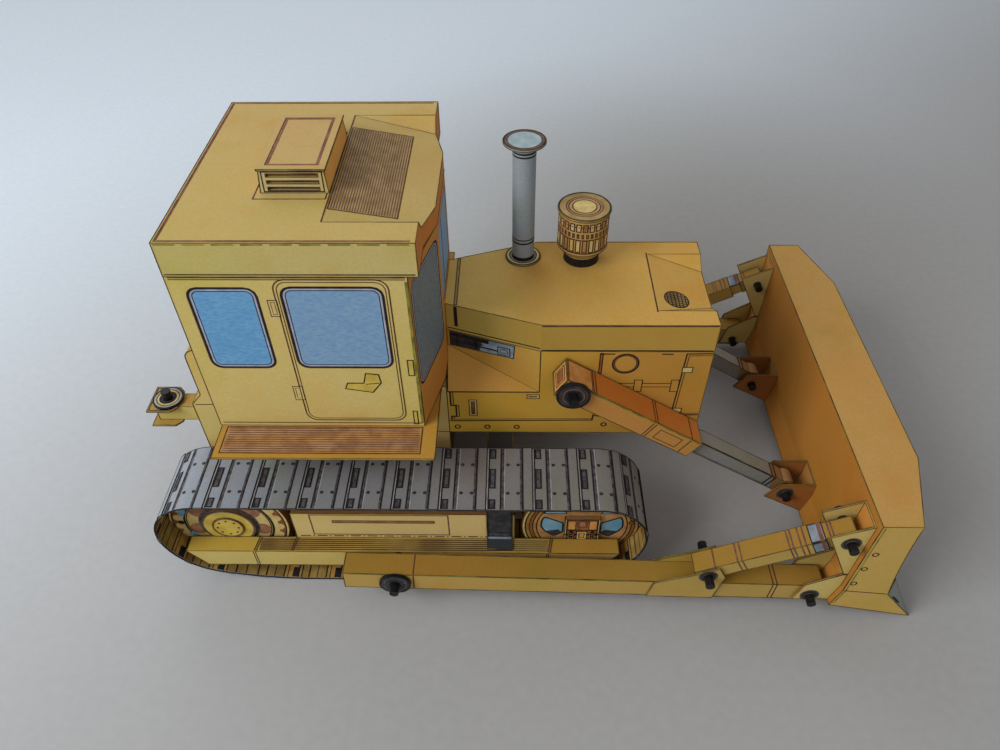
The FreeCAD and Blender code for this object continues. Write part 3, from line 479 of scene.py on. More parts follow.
def stroke(points, width, material, layer=0):
    """Line of even width through its points."""
    half = width / 2 * PEN_WEIGHT
    for (x0, y0), (x1, y1) in zip(points, points[1:]):
        run = math.hypot(x1 - x0, y1 - y0)
        dx, dy = (x1 - x0) / run * half, (y1 - y0) / run * half
        tight = 0.0 if len(points) == 2 else 1.0
        x0, y0, x1, y1 = x0 - dx * tight, y0 - dy * tight, x1 + dx * tight, y1 + dy * tight
        corners = ((x0 + dy, y0 - dx), (x1 + dy, y1 - dx), (x1 - dy, y1 + dx), (x0 - dy, y0 + dx))
        fill(corners, material, layer=layer)


def moved(points, across, up):
    return [(x + across, y + up) for x, y in points]


def double_stroke(points, gap, width, material, layer=0):
    """Two even lines side by side, the second moved square to the first run."""
    (x0, y0), (x1, y1) = points[:2]
    run = math.hypot(x1 - x0, y1 - y0)
    stroke(points, width, material, layer)
    stroke(moved(points, (y0 - y1) / run * gap, (x1 - x0) / run * gap), width, material, layer)


def steps(first, last, count):
    """Evenly spaced places from first to last."""
    return [first + (last - first) * number / (count - 1) for number in range(count)]


def repeat_round(count):
    """Copies what is selected round the drawing's middle."""
    bpy.ops.mesh.spin(dupli=True, steps=count - 1, angle=math.tau * (count - 1) / count,
                      center=(0, 0, 0), axis=(0, 0, 1))


def surface(origin, across, up):
    """Matrix that carries a drawing's millimetres to a face of the part, in metres."""
    across, up = Vector(across).normalized(), Vector(up).normalized()
    turn = Matrix((across, up, across.cross(up))).transposed().to_4x4()
    return Matrix.Scale(MM, 4) @ Matrix.Translation(origin) @ turn


def right_face(across, pin=(0, 0)):
    """Face that looks to the right, drawn forwards and up from a pin."""
    return surface((pin[0], across, pin[1]), (1, 0, 0), (0, 0, 1))


def top_face(height, centre=(0, 0)):
    """Face that looks up, drawn forwards and to the left from a centre."""
    return surface((centre[0], centre[1], height), (1, 0, 0), (0, 1, 0))


def dipped_face(rear_x, high, drop):
    """Face that slopes down from an edge across the top of a piece to its front."""
    return surface((rear_x, 0, high[2]), (high[0] - rear_x, 0, -drop), (0, 1, 0))


UPRIGHT = Matrix.Scale(MM, 4)
MIRROR = Matrix.Diagonal((1, -1, 1, 1))
BOTH = ("right", "left")
MIDDLE = ("",)


def settle(piece, name, body):
    """Faces outwards, name and body of a new piece whose place is in its mesh."""
    select_only(piece)
    bpy.ops.object.transform_apply(location=True, rotation=True, scale=True)
    bpy.ops.object.mode_set(mode="EDIT")
    bpy.ops.mesh.select_all(action="SELECT")
    bpy.ops.mesh.normals_make_consistent(inside=False)
    bpy.ops.object.mode_set(mode="OBJECT")
    piece.name = name
    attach(piece, body)


def copy_to_sides(drawing, name, place, sides=BOTH, body="chassis"):
    """Lays a copy of the closed drawing on each side of the part, and drops the drawing."""
    for side in sides:
        select_only(drawing)
        bpy.ops.object.duplicate()
        piece = bpy.context.object
        piece.matrix_world = MIRROR @ place if side == "left" else place
        settle(piece, name + "_" + side if side else name, body.format(side))
    select_only(drawing)
    bpy.ops.object.delete()


def lay_print(name, place, sides=BOTH, body="chassis"):
    """Closes the open drawing and lays it on the part."""
    copy_to_sides(close_print(), name, place, sides, body)


def box_mm(node):
    """Lowest and highest corners of a CAD node, in millimetres."""
    return [[value / MM for value in corner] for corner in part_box(node)]


# Cab: its printed faces, from the walls' own box
CAB_LOW, CAB_HIGH = box_mm("cab_walls")
CAB_SHOULDER_X = -25.6
CAB_NOSE_HALF = 15.0
SIDE_WALL = right_face(CAB_LOW[1])
NOSE_ACROSS = (CAB_HIGH[0] - CAB_SHOULDER_X, -CAB_NOSE_HALF - CAB_LOW[1], 0)
FRONT_FACET = surface((CAB_SHOULDER_X, CAB_LOW[1], 0), NOSE_ACROSS, (0, 0, 1))
NOSE_FACE = surface((CAB_HIGH[0], 0, 0), (0, 1, 0), (0, 0, 1))
REAR_WALL = surface((CAB_LOW[0], 0, 0), (0, -1, 0), (0, 0, 1))
PANE_DEPTH = 0.15
PRESSED = Matrix.Translation((0, 0, -PANE_DEPTH))

SEAL_BANDS = ((black, 0.75), (seal, 0.5), (black, 0.3))
WINDOW_ROUND = 3.3


def window(points, pane):
    """Pane in its rubber seal: black, pale and black lines, then blue pencil."""
    patch(points, SEAL_BANDS + ((pane, 0),), WINDOW_ROUND)


start_print()
window(rect(-85.5, 84.9, -66.3, 114.7), blue_pane)
window(rect(-60.3, 85.0, -32.3, 115.0), pale_pane)
lay_print("cab_side_panes", SIDE_WALL @ PRESSED)

start_print()
window(rect(1.1, 75.7, 24.5, 114.9), dark_pane)
lay_print("cab_facet_panes", FRONT_FACET @ PRESSED)

start_print()
window(rect(-13.9, 88.1, 13.9, 114.9), pale_pane)
stroke(((-5.0, 89.6), (-5.0, 113.4)), 0.8, black, 1)
lay_print("cab_nose_pane", NOSE_FACE @ PRESSED, MIDDLE)

start_print()
window(rect(-32.9, 88.6, 32.9, 114.9), dark_pane)
lay_print("cab_rear_pane", REAR_WALL @ PRESSED, MIDDLE)


def hinge(left, low, right, high):
    patch(rect(left, low, right, high), ((brown, 0.3), (cream, 0.45), (brown, 0.2), (cream, 0)))


start_print()
outline(rect(-61.9, 62.5, -30.7, 117.5), 0.3, brown, 3.6)
outline(rect(-61.0, 63.4, -31.6, 116.6), 0.2, brown, 3.0)
hinge(-64.2, 104.6, -61.4, 110.5)
hinge(-63.9, 71.6, -60.8, 77.6)
HANDLE = ((-47.7, 76.8), (-46.9, 78.8), (-42.0, 78.8), (-41.0, 82.8), (-37.6, 82.4), (-37.2, 79.2),
          (-40.0, 75.3))
patch(HANDLE, ((black, 0.35), (lemon, 0)), layer=1)
stroke(((-41.6, 78.6), (-37.6, 79.0)), 0.25, brown, 2)
patch(rect(-28.6, 82.0, -26.6, 88.5), ((black, 0.35), (lemon, 0)))
patch(rect(-28.8, 60.8, -27.2, 67.0), ((black, 0.35), (lemon, 0)))
fill(rect(-26.5, 61.4, -25.8, 116.6), olive)
double_stroke(((CAB_LOW[0] + 1, 117.3), (CAB_SHOULDER_X - 0.6, 117.3)), 0.6, 0.22, brown)
stroke(((CAB_LOW[0] + 1, 61.4), (CAB_SHOULDER_X - 0.6, 61.4)), 0.25, brown)
lay_print("cab_side_print", SIDE_WALL)

start_print()
for low, high in ((61.2, 68.4), (69.2, 75.0)):
    stroke(((0.5, low), (0.5, high)), 0.3, brown)
lay_print("cab_facet_print", FRONT_FACET)

start_print()
double_stroke(((CAB_LOW[1] + 1, 117.3), (CAB_HIGH[1] - 1, 117.3)), 0.6, 0.22, brown)
lay_print("cab_rear_print", REAR_WALL, MIDDLE)

# Roof: vent box, sunk front part with its grating, and the band
ROOF_LOW, ROOF_HIGH = box_mm("cab_roof")
VENT_LOW, VENT_HIGH = box_mm("roof_vent")
VENT_FOOT_Z, VENT_SLANT, LOUVRE_DEPTH = 128.8, 6.65, 1.3
ROOF_RECESS_X = -48.1
ROOF_RECESS_DROP = 4.9
ROOF_TOP = top_face(ROOF_HIGH[2])
ROOF_DIP = dipped_face(ROOF_RECESS_X, ROOF_HIGH, ROOF_RECESS_DROP)
VENT_SIDE = surface((0, VENT_LOW[1], VENT_FOOT_Z), (1, 0, 0), (0, 0.5, VENT_SLANT))
VENT_LID = top_face(VENT_HIGH[2])
LOUVRE_FLOOR = right_face(VENT_LOW[1] + LOUVRE_DEPTH)
ROOF_BAND = right_face(ROOF_LOW[1])

start_print()
outline(rect(-68.9, -19.2, ROOF_RECESS_X - 0.6, 19.2), 0.3, brown)
stroke(((ROOF_RECESS_X, -30.0), (ROOF_RECESS_X, 30.0)), 0.3, brown)
outline(rect(ROOF_LOW[0] + 0.5, ROOF_LOW[1] + 0.5, ROOF_LOW[0] + 1.3, ROOF_HIGH[1] - 0.5), 0.35, red_pencil)
for low, high in ((ROOF_LOW[1] + 0.5, ROOF_LOW[1] + 1.2), (ROOF_HIGH[1] - 1.2, ROOF_HIGH[1] - 0.5)):
    fill(rect(ROOF_LOW[0] + 1.5, low, -24.0, high), red_pencil)
lay_print("roof_top_print", ROOF_TOP, MIDDLE)

start_print()
fill(rect(0.8, -23.4, 19.0, 22.0), grate)
for run in steps(1.3, 18.5, 25):
    stroke(((run, -23.2), (run, 21.8)), 0.24, plum, 1)
outline(rect(0.4, -23.8, 19.4, 22.4), 0.3, brown)
lay_print("roof_grating_print", ROOF_DIP, MIDDLE)

start_print()
patch(rect(-65.0, -13.7, -50.6, 13.7), ((red_pencil, 0.8), (None, 0)))
lay_print("vent_panel_print", VENT_LID @ PRESSED, MIDDLE)

start_print()
outline(rect(VENT_LOW[0] + 1.0, 0.25, VENT_HIGH[0] - 1.0, VENT_SLANT - 0.3), 0.25, black)
lay_print("vent_side_print", VENT_SIDE)

# Floors of the louvre slots: lowest and highest height
start_print()
for low, high in ((129.6, 130.5), (131.55, 132.45), (133.5, 134.4)):
    fill(rect(-65.0, low, -50.6, high), umber)
lay_print("vent_slot_print", LOUVRE_FLOOR)

start_print()
stroke(((ROOF_LOW[0] + 0.6, ROOF_LOW[2] + 0.7), (-23.4, ROOF_LOW[2] + 0.7)), 0.3, brown)
for start in steps(ROOF_LOW[0] + 0.6, -29.8, 9):
    fill(rect(start, ROOF_HIGH[2] - 0.75, start + 5.6, ROOF_HIGH[2] - 0.3), olive)
lay_print("roof_band_print", ROOF_BAND)

# Fender plates with their gratings
start_print()
fill(rect(-87.0, -50.6, -26.5, -40.6), tan)
for up in steps(-50.2, -41.0, 11):
    stroke(((-86.6, up), (-26.9, up)), 0.28, plum, 1)
outline(rect(-87.6, -51.2, -25.9, -40.2), 0.3, brown)
lay_print("fender_grating_print", top_face(box_mm("fender_plate")[1][2]))

# Hood and cowl
HOOD_LOW, HOOD_HIGH = box_mm("hood")
COWL_FRONT_X = 10.8
HOOD_REAR_HALF = 11.5
BAND_Z = HOOD_LOW[2]
HOOD_RECESS_X = 47.5
HOOD_RECESS_DROP = 3.5
HOOD_TOP = top_face(HOOD_HIGH[2])
HOOD_DIP = dipped_face(HOOD_RECESS_X, HOOD_HIGH, HOOD_RECESS_DROP)
FLANK_ACROSS = (COWL_FRONT_X - HOOD_LOW[0], -(HOOD_HIGH[1] - HOOD_REAR_HALF), 0)
FLANK = surface((HOOD_LOW[0], -HOOD_REAR_HALF, 0), FLANK_ACROSS, (0, 0, 1))
HULL_SIDE = right_face(HOOD_LOW[1])

start_print()
patch(rect(-16.8, -12.4, -15.6, 12.4), ((brown, 0.32), (grate, 0)))
stroke(((HOOD_RECESS_X - 0.5, -15.6), (HOOD_RECESS_X - 0.5, 15.6)), 0.35, brown)
lay_print("hood_top_print", HOOD_TOP, MIDDLE)

start_print()
disc((6.7, -7.8), 4.2, ((black, 0.45), (bark, 0)))
for shift in steps(-3.0, 3.0, 6):
    reach = math.sqrt(3.75 ** 2 - shift ** 2)
    stroke(((6.7 + shift, -7.8 - reach), (6.7 + shift, -7.8 + reach)), 0.28, black, 1)
    stroke(((6.7 - reach, -7.8 + shift), (6.7 + reach, -7.8 + shift)), 0.2, brown, 2)
lay_print("hood_cap_print", HOOD_DIP, MIDDLE)

start_print()
FLANK_RUN = math.hypot(FLANK_ACROSS[0], FLANK_ACROSS[1])
fill(rect(2.9, 78.0, 4.1, 86.1), black)
stroke(((0.4, BAND_Z + 1.1), (FLANK_RUN - 0.2, BAND_Z + 1.1)), 0.3, black)
# Printed opening that shows the engine: slate on its rear half, pale blue on its front half
ENGINE_WINDOW = ((0.9, 69.2), (23.2, 69.5), (23.6, 75.3), (0.9, 75.4))
patch(ENGINE_WINDOW, ((black, 0.35), (steel_blue, 0)))
fill(((1.3, 69.6), (11.4, 69.8), (12.6, 74.9), (1.3, 75.0)), slate, layer=1)
fill(((1.3, 73.7), (14.6, 73.5), (14.6, 75.0), (1.3, 75.0)), black, layer=2)
stroke(((3.6, 69.8), (3.6, 73.6)), 0.3, black, 2)
stroke(((5.6, 71.6), (19.0, 71.4)), 0.45, black, 2)
stroke(((5.6, 72.6), (12.6, 72.5)), 0.35, black, 2)
stroke(((10.2, 70.2), (10.2, 73.6)), 0.9, black, 2)
patch(rect(17.6, 70.2, 22.0, 73.6),
      ((black, 0.35), (steel_blue, 0.5), (black, 0.25), (steel_pale, 0)), layer=3)
lay_print("hood_flank_print", FLANK)

start_print()
stroke(((COWL_FRONT_X + 0.2, BAND_Z + 0.35), (HOOD_HIGH[0] - 0.4, BAND_Z + 0.35)), 0.35, black)
stroke(((COWL_FRONT_X + 0.2, HOOD_HIGH[2] - 0.5), (HOOD_HIGH[0] - 0.4, HOOD_HIGH[2] - 0.35)), 0.3, brown)
ring((38.0, 70.4), 4.4, 0.45, black)
ring((38.0, 70.4), 3.7, 0.25, brown)
patch(rect(29.5, 65.9, 30.7, 75.0), ((black, 0.35), (umber, 0)))
for left, right in ((29.5, 34.3), (49.0, 52.6)):
    stroke(((left, 74.6), (right, 74.6)), 0.35, black)
stroke(((65.0, 74.9), (56.9, 74.7), (55.9, 48.8)), 0.34, black)
stroke(((65.0, 74.1), (57.7, 73.9), (56.8, 49.5), (56.5, 45.2)), 0.22, brown)
for box in ((56.3, 66.5, 59.8, 69.0), (55.9, 47.6, 59.1, 49.9)):
    patch(rect(*box), ((black, 0.3), (cream, 0)), layer=1)
patch(rect(35.0, 59.8, 56.5, 61.7), ((black, 0.3), (hull_card, 0)))
for left, right in ((41.6, 44.4), (53.6, 56.4)):
    patch(rect(left, 57.7, right, 63.3), ((black, 0.3), (hull_card, 0)), layer=1)
patch(rect(-12.9, 45.5, -10.0, 53.5), ((black, 0.3), (cream, 0.5), (black, 0.25), (umber, 0)))
patch(rect(6.6, 54.0, 11.0, 56.1), ((black, 0.3), (cream, 0.4), (umber, 0)))
NOTCH = ((-18.9, 57.0), (-18.9, 50.7), (-17.2, 50.7), (-17.2, 45.2), (-18.9, 45.2), (-18.9, 44.0))
stroke(NOTCH, 0.42, black)
stroke(moved(NOTCH, 0.9, 0), 0.25, brown)
FLANGE = ((-19.4, 42.9), (29.2, 43.6), (29.4, 45.9), (34.3, 45.2), (64.8, 46.6))
stroke(FLANGE, 0.36, black)
stroke(moved(FLANGE, 0, 0.75), 0.2, brown)
for centre in ((-17.1, 39.9), (-6.8, 39.9), (3.4, 39.9), (33.4, 41.4), (40.3, 41.4), (52.0, 42.6)):
    ring(centre, 1.1, 0.36, black, 0, 14)
for centre in ((26.1, 49.5), (28.9, 47.6)):
    disc(centre, 0.45, ((black, 0),), 0, 10)
stroke(((-19.4, 57.1), (COWL_FRONT_X, 57.1)), 0.25, brown)
lay_print("hull_side_print", HULL_SIDE)

# Tracks: one shoe is drawn flat, repeated and wrapped on the band
TRACK_LOW, TRACK_HIGH = box_mm("track_right")
TRACK_TOP_Z, TRACK_TOP_REAR_X, TRACK_TOP_FRONT_X = 42.0, -99.0, 29.8
UPPER_R, LOWER_R, RAMP_R = 16.5, 22.0, 120.0
TRACK_SKIN = 0.6
SHOES = 25
SHOE_PITCH = 14.878
SHOE_BAR = 0.25
SHOE_BAR_WIDTH = 3.0
STRIP_CELL = 1.6
FIRST_BAR_RUN = 310.4
LINE_START = FIRST_BAR_RUN + SHOE_BAR_WIDTH / 2


def track_legs():
    """Radius and length of each part of the band's outer line, clockwise from the top run's rear end."""
    reach = RAMP_R - LOWER_R
    slope = math.acos((RAMP_R - TRACK_TOP_Z + UPPER_R) / reach)
    top = TRACK_TOP_FRONT_X - TRACK_TOP_REAR_X
    sole = top - 2 * (LOWER_R - UPPER_R + reach * math.sin(slope))
    turns = ((UPPER_R, math.pi / 2), (LOWER_R, math.pi / 2 - slope), (RAMP_R, slope))
    down = [(radius, radius * turn) for radius, turn in turns]
    return [(0, top)] + down + [(0, sole)] + down[::-1]


TRACK_LEGS = track_legs()
LOOP_RUN = sum(length for _, length in TRACK_LEGS)


def loop_point(run, lift):
    """Place on the band at a distance along its outer line, lifted outwards."""
    x, z, heading = TRACK_TOP_REAR_X, TRACK_TOP_Z, 0.0
    run %= LOOP_RUN
    for radius, length in TRACK_LEGS:
        part = min(run, length)
        run -= part
        if radius:
            ahead = heading + part / radius
            x += radius * (math.sin(ahead) - math.sin(heading))
            z += radius * (math.cos(ahead) - math.cos(heading))
            heading = ahead
        else:
            x += part * math.cos(heading)
            z -= part * math.sin(heading)
    return x + lift * math.sin(heading), z + lift * math.cos(heading)


def wrap_print(name, face, outward, count=SHOES - 1):
    """Repeats the open drawing along the band and wraps it on one of its faces, on each side of the part."""
    drawing = close_print()
    row = drawing.modifiers.new("row", "ARRAY")
    row.count = count
    row.use_relative_offset = False
    row.use_constant_offset = True
    row.constant_offset_displace = (SHOE_PITCH, 0, 0)
    bpy.ops.object.modifier_apply(modifier="row")
    for vertex in drawing.data.vertices:
        x, z = loop_point(vertex.co.x, face + vertex.co.z * outward)
        vertex.co = (x * MM, vertex.co.y * MM, z * MM)
    copy_to_sides(drawing, name, Matrix())


def strip(start, end, low, high, material, layer=0):
    """Rectangle divided along its length, so that it can follow a bend."""
    cells = max(1, math.ceil((end - start) / STRIP_CELL))
    bpy.ops.mesh.select_all(action="DESELECT")
    bpy.ops.mesh.primitive_grid_add(x_subdivisions=cells, y_subdivisions=1, size=1)
    mesh = bmesh.from_edit_mesh(bpy.context.object.data)
    for vertex in [entry for entry in mesh.verts if entry.select]:
        x, y, _ = vertex.co
        vertex.co = (start + (x + 0.5) * (end - start), low + (y + 0.5) * (high - low), level(layer))
    bmesh.update_edit_mesh(bpy.context.object.data)
    give_ink(material)


def shoe_strips(rows, start=LINE_START):
    """Strips right across a shoe, from (start, end, ink, layer) rows measured from its bar."""
    for first, last, material, layer in rows:
        strip(start + first, start + last, SHOE_LOW, SHOE_HIGH, material, layer)


SHOE_LOW, SHOE_HIGH = TRACK_LOW[1] + 0.3, TRACK_HIGH[1] - 0.3
# Notches across the shoe, and the bolts beside them
NOTCHES = ((-58.1, -54.3), (-50.1, -42.1), (-37.9, -33.7))
BOLTS = (-51.9, -40.4)
start_print()
shoe_strips(((0.3, 0.62, steel_pale, 0), (0.62, 1.05, black, 0), (4.5, 5.0, black, 0),
             (5.0, 5.8, shade, 0), (5.8, 6.1, steel_pale, 0), (10.9, 11.5, shade, 0),
             (11.5, 11.95, black, 0)))
for low, high in NOTCHES:
    strip(LINE_START + 0.98, LINE_START + 3.1, low, high, black, 1)
    strip(LINE_START + 1.5, LINE_START + 2.6, low + 0.45, high - 0.45, shade, 2)
for run in (7.0, 10.3):
    for across in BOLTS:
        disc((LINE_START + run, across), 0.58, ((black, 0.34), (shade, 0)), 1, 12)
wrap_print("shoe_print", -SHOE_BAR, 1)

# Inner side of the band: brown plates with dark joints and stepped notches
start_print()
shoe_strips(((0.0, 6.4, band, 0), (6.4, SHOE_PITCH, bark, 0)))
shoe_strips(((0.0, 0.4, black, 1), (1.1, 1.6, black, 1), (4.9, 5.2, black, 1), (6.1, 6.6, black, 1),
             (9.4, 9.7, black, 1), (12.2, 12.7, black, 1)))
for low, high in NOTCHES:
    strip(LINE_START + 1.6, LINE_START + 3.4, low, high, black, 2)
wrap_print("band_inside_print", -TRACK_SKIN, -1)
# Short shoe where the band is glued
JOINT_START = (SHOES - 1) * SHOE_PITCH
start_print()
shoe_strips(((0.0, LOOP_RUN - JOINT_START, bark, 0), (0.3, 0.8, black, 1), (4.4, 4.8, black, 1),
             (7.8, 8.3, black, 1)), LINE_START + JOINT_START)
wrap_print("band_joint_print", -TRACK_SKIN, -1, 1)

# Sprocket and idler faces, drawn from their axes
DRUM_FACE_Y, HUB_FACE_Y = -50.0, -51.1
SPROCKET_AXIS, IDLER_AXIS = (-94.5, 21.0), (25.5, 21.0)
HUB_R, CAP_R = 9.0, 5.3
DRUM_SIDES = 46
TEETH, OVALS, CAP_BOLTS = 23, 7, 8

start_print()
disc((0, 0), 19.4, ((black, 0.4), (umber, 0)), 0, DRUM_SIDES)
disc((0, 17.0), 2.2, ((brown, 0.5), (cream, 0)), 1, 18)
repeat_round(TEETH)
disc((0, 0), 17.0, ((cream, 0),), 2, DRUM_SIDES)
disc((0, 11.3), 3.7, ((brown, 0.6), (clay, 0)), 3, 24)
repeat_round(OVALS)
ring((0, 0), 15.3, 0.55, black, 4, DRUM_SIDES)
ring((0, 0), 14.4, 0.3, brown, 4, DRUM_SIDES)
ring((0, 0), 10.3, 0.9, shade, 4)
disc((-16.2, 1.0), 1.1, ((black, 0),), 4, 14)
for gap in (((-15.2, -5.4), (-13.4, -8.6), (-11.6, -7.2), (-13.6, -4.0)),
            ((-16.4, 5.0), (-14.4, 4.4), (-12.9, 7.6), (-14.6, 9.2))):
    fill(gap, lake, layer=5)
lay_print("sprocket_print", right_face(DRUM_FACE_Y, SPROCKET_AXIS))

start_print()
disc((0, 0), HUB_R - 0.2, ((shade, 0.5), (lemon, 0)))
lay_print("hub_print", right_face(HUB_FACE_Y, SPROCKET_AXIS))

start_print()
disc((0, 0), CAP_R - 0.1, ((plum, 0.45), (lemon, 0)))
disc((0, 3.6), 0.42, ((black, 0),), 1, 8)
repeat_round(CAP_BOLTS)
lay_print("hub_cap_print", right_face(box_mm("sprocket_right")[0][1], SPROCKET_AXIS))

# Blue openings between the idler's spokes and the shadow painted in each, front ones; the rear ones mirror
# them
IDLER_OPENING = ((13.9, 3.4), (12.9, 5.8), (6.1, 2.2), (6.1, -3.6), (9.4, -6.0), (12.8, -2.7), (14.1, 0.0))
IDLER_SHADOW = ((6.7, -3.3), (9.4, -5.4), (12.1, -2.6), (7.9, -1.8))
IDLER_TRIM = ((-6.0, 9.0), (6.0, 9.0), (4.2, 13.4), (-4.2, 13.4))
start_print()
disc((0, 0), 19.4, ((black, 0.5), (band, 0.9), (black, 0.35), (umber, 0.8), (black, 0.4), (band, 0.9),
                    (black, 0.45), (tan, 0)), 0, DRUM_SIDES)
for left, right in ((-13.5, -5.1), (5.5, 12.5)):
    gap = ((left, 7.2), (right, 7.2), (right - 1.2, 9.6), (left + 2.0, 9.6))
    patch(gap, ((black, 0.35), (lake, 0)), layer=1)
for flip in (1, -1):
    patch([(x * flip, z) for x, z in IDLER_OPENING][::flip], ((black, 0.6), (lake, 0)), 0.8, 1)
    # Painted shadow inside each opening
    fill([(x * flip, z) for x, z in IDLER_SHADOW][::flip], slate, layer=2)
disc((16.6, 2.4), 1.1, ((black, 0.4), (umber, 0)), 2, 16)
for flip in (-1, 1):
    patch([(x, z * flip) for x, z in IDLER_TRIM][::flip], ((black, 0.45), (band, 0)), 0.6, 1)
lay_print("idler_print", right_face(DRUM_FACE_Y, IDLER_AXIS))

start_print()
patch(rect(-5.4, -7.1, 5.4, 5.7), ((black, 0.45), (umber, 0)))
BOLT_BANDS = ((black, 0.3), (cream, 0.45), (black, 0.2), (umber, 0))
for left, right in ((-5.0, -2.1), (2.1, 5.0)):
    patch(rect(left, 0.0, right, 5.2), ((brown, 0.3), (orange, 0)), 0.8, 1)
    for low in (-6.4, -3.8):
        patch(rect(left + 0.3, low, right - 0.3, low + 2.1), BOLT_BANDS, 0.5, 1)
patch(rect(-1.6, 1.4, 1.6, 5.2), ((brown, 0.3), (umber, 0.5), (clay, 0)), layer=1)
patch(rect(-1.9, -5.6, 1.9, -0.8), ((black, 0.35), (cream, 0.5), (black, 0.3), (orange, 0)), layer=1)
stroke(((-4.9, -0.4), (4.9, -0.4)), 0.4, black, 2)
lay_print("bearing_block_print", right_face(box_mm("idler_right")[0][1], IDLER_AXIS))

# Track frame box and side guard
GUARD_LOW, GUARD_HIGH = box_mm("side_guard_right")
start_print()
outline(rect(-66.0, 17.2, -19.2, 28.8), 0.35, plum)
patch(rect(-58.6, 24.0, -24.0, 25.6), ((brown, 0.35), (clay, 0)))
for start in steps(-70.6, -1.6, 13):
    stroke(((start, 16.5), (start + 3.4, 16.5)), 0.35, black)
    stroke(((start + 4.3, 16.5), (start + 4.8, 16.5)), 0.35, black)
lay_print("frame_box_print", right_face(box_mm("track_frame_right")[0][1]))

start_print()
fill(rect(-84.0, -56.9, 14.0, -51.8), rib)
for across in steps(-56.3, -52.4, 6):
    stroke(((-84.0, across), (14.0, across)), 0.24, black, 1)
for place in (-85.0, -72.4, 14.8):
    double_stroke(((place, -57.0), (place + 0.9, -51.7)), 0.7, 0.28, brown, 2)
lay_print("guard_top_print", top_face(GUARD_HIGH[2]))

start_print()
for place in (-85.3, 14.3):
    double_stroke(((place, 7.6), (place, 15.2)), 0.7, 0.25, brown)
lay_print("guard_side_print", right_face(GUARD_LOW[1]))

# Cross bar's saddle
SADDLE_LOW, SADDLE_HIGH = box_mm("equalizer_bar")
SADDLE_FACE_Y = -52.0
start_print()
patch(rect(SADDLE_LOW[0] + 0.2, 16.6, SADDLE_HIGH[0] - 0.2, 36.8), ((black, 0.4), (slate, 0)))
fill(rect(SADDLE_LOW[0] + 0.8, 18.2, SADDLE_HIGH[0] - 0.8, 19.3), shade, layer=1)
fill(rect(SADDLE_LOW[0] + 0.3, 16.3, SADDLE_HIGH[0] - 0.3, 17.4), steel_blue, layer=1)
lay_print("saddle_print", right_face(SADDLE_FACE_Y))

# Bars of the linkage: rear and front pin, distance from the mid-plane, half its height and width, its body
ARM = (ARM_REAR, ARM_FRONT, 63.5, 4.15, 3.9, "blade_frame")
BRACE = (BRACE_REAR, BRACE_FRONT, 63.5, 2.8, 3.5, "blade_frame")
BARREL = (LIFT_REAR, LIFT_FRONT, 27.5, 3.8, 5.0, "cylinder_{}")
ROD = (LIFT_REAR, LIFT_FRONT, 27.5, 2.8, 3.0, "rod_{}")
BARREL_BACK = 4.7
BRACE_BANDS = (3.3, 10.6, 12.0, 27.0, 28.1, 30.4, 31.9, 39.4, 40.4)
COLLAR_START, COLLAR_END = 33.4, 38.0


def start_on_bar(bar, face):
    """Opens a drawing for a bar's side or top, and gives half the face's width."""
    start_print()
    return bar[3] if face == "side" else bar[4]


def lay_on_bar(name, bar, face):
    """Lays the open drawing on a bar, along it from its rear pin, or on the barrel's rear end."""
    rear, front, across, half_height, half_width, body = bar
    ahead = Vector((front[0] - rear[0], 0, front[1] - rear[1])).normalized()
    if face == "side":
        place = surface((rear[0], -(across + half_width), rear[1]), ahead, (-ahead.z, 0, ahead.x))
    elif face == "top":
        place = surface((rear[0] - ahead.z * half_height, -across, rear[1] + ahead.x * half_height),
                        ahead, (0, 1, 0))
    else:
        place = surface((rear[0] - ahead.x * BARREL_BACK, -across, rear[1] - ahead.z * BARREL_BACK),
                        (0, -1, 0), (-ahead.z, 0, ahead.x))
    lay_print(f"{name}_{face}_print", place, body=body)


def cross_bands(places, half, material=brown, width=0.3):
    for place in places:
        stroke(((place, -half), (place, half)), width, material)


half = start_on_bar(BARREL, "side")
cross_bands((30.3, 31.4, 46.0), half - 0.2)
stroke(((-4.2, 3.35), (49.6, 3.35)), 0.35, olive, 1)
outline(rect(34.0, -2.6, 43.5, 1.9), 0.22, brown)
lay_on_bar("barrel", BARREL, "side")
start_print()
outline(rect(-4.7, -3.5, 4.7, 3.5), 0.3, brown)
patch(rect(-3.4, -2.5, 3.4, 2.5), ((brown, 0.4), (orange, 0.45), (brown, 0.3), (umber, 0)))
lay_on_bar("barrel", BARREL, "end")
half = start_on_bar(BARREL, "top")
cross_bands((5.4, 6.4, 30.3, 31.4, 46.0), half - 0.2)
patch(rect(-4.3, -4.6, 5.0, 4.6), ((brown, 0.3), (orange, 0)))
lay_on_bar("barrel", BARREL, "top")

for face in ("side", "top"):
    half = start_on_bar(ROD, face)
    cross_bands((84.6, 86.4), half - 0.2, black, 0.5)
    if face == "side":
        stroke(((50.4, 2.45), (86.0, 2.45)), 0.3, black)
        stroke(((50.4, -2.3), (86.0, -2.3)), 0.25, shade)
    lay_on_bar("rod", ROD, face)

for face in ("side", "top"):
    half = start_on_bar(ARM, face)
    cross_bands((6.0, 124.0, 125.3), half - 0.2)
    if face == "side":
        stroke(((-15.6, 3.75), (84.0, 3.75)), 0.3, olive)
    lay_on_bar("arm", ARM, face)

for face in ("side", "top"):
    half = start_on_bar(BRACE, face) - 0.15
    patch(rect(COLLAR_START, -half, COLLAR_END, half), ((black, 0.4), (collar, 0)))
    fill(rect(COLLAR_START + 2.8, -half, COLLAR_END - 0.6, half), plum, layer=1)
    cross_bands(BRACE_BANDS, half, plum, 0.38)
    lay_on_bar("brace", BRACE, face)

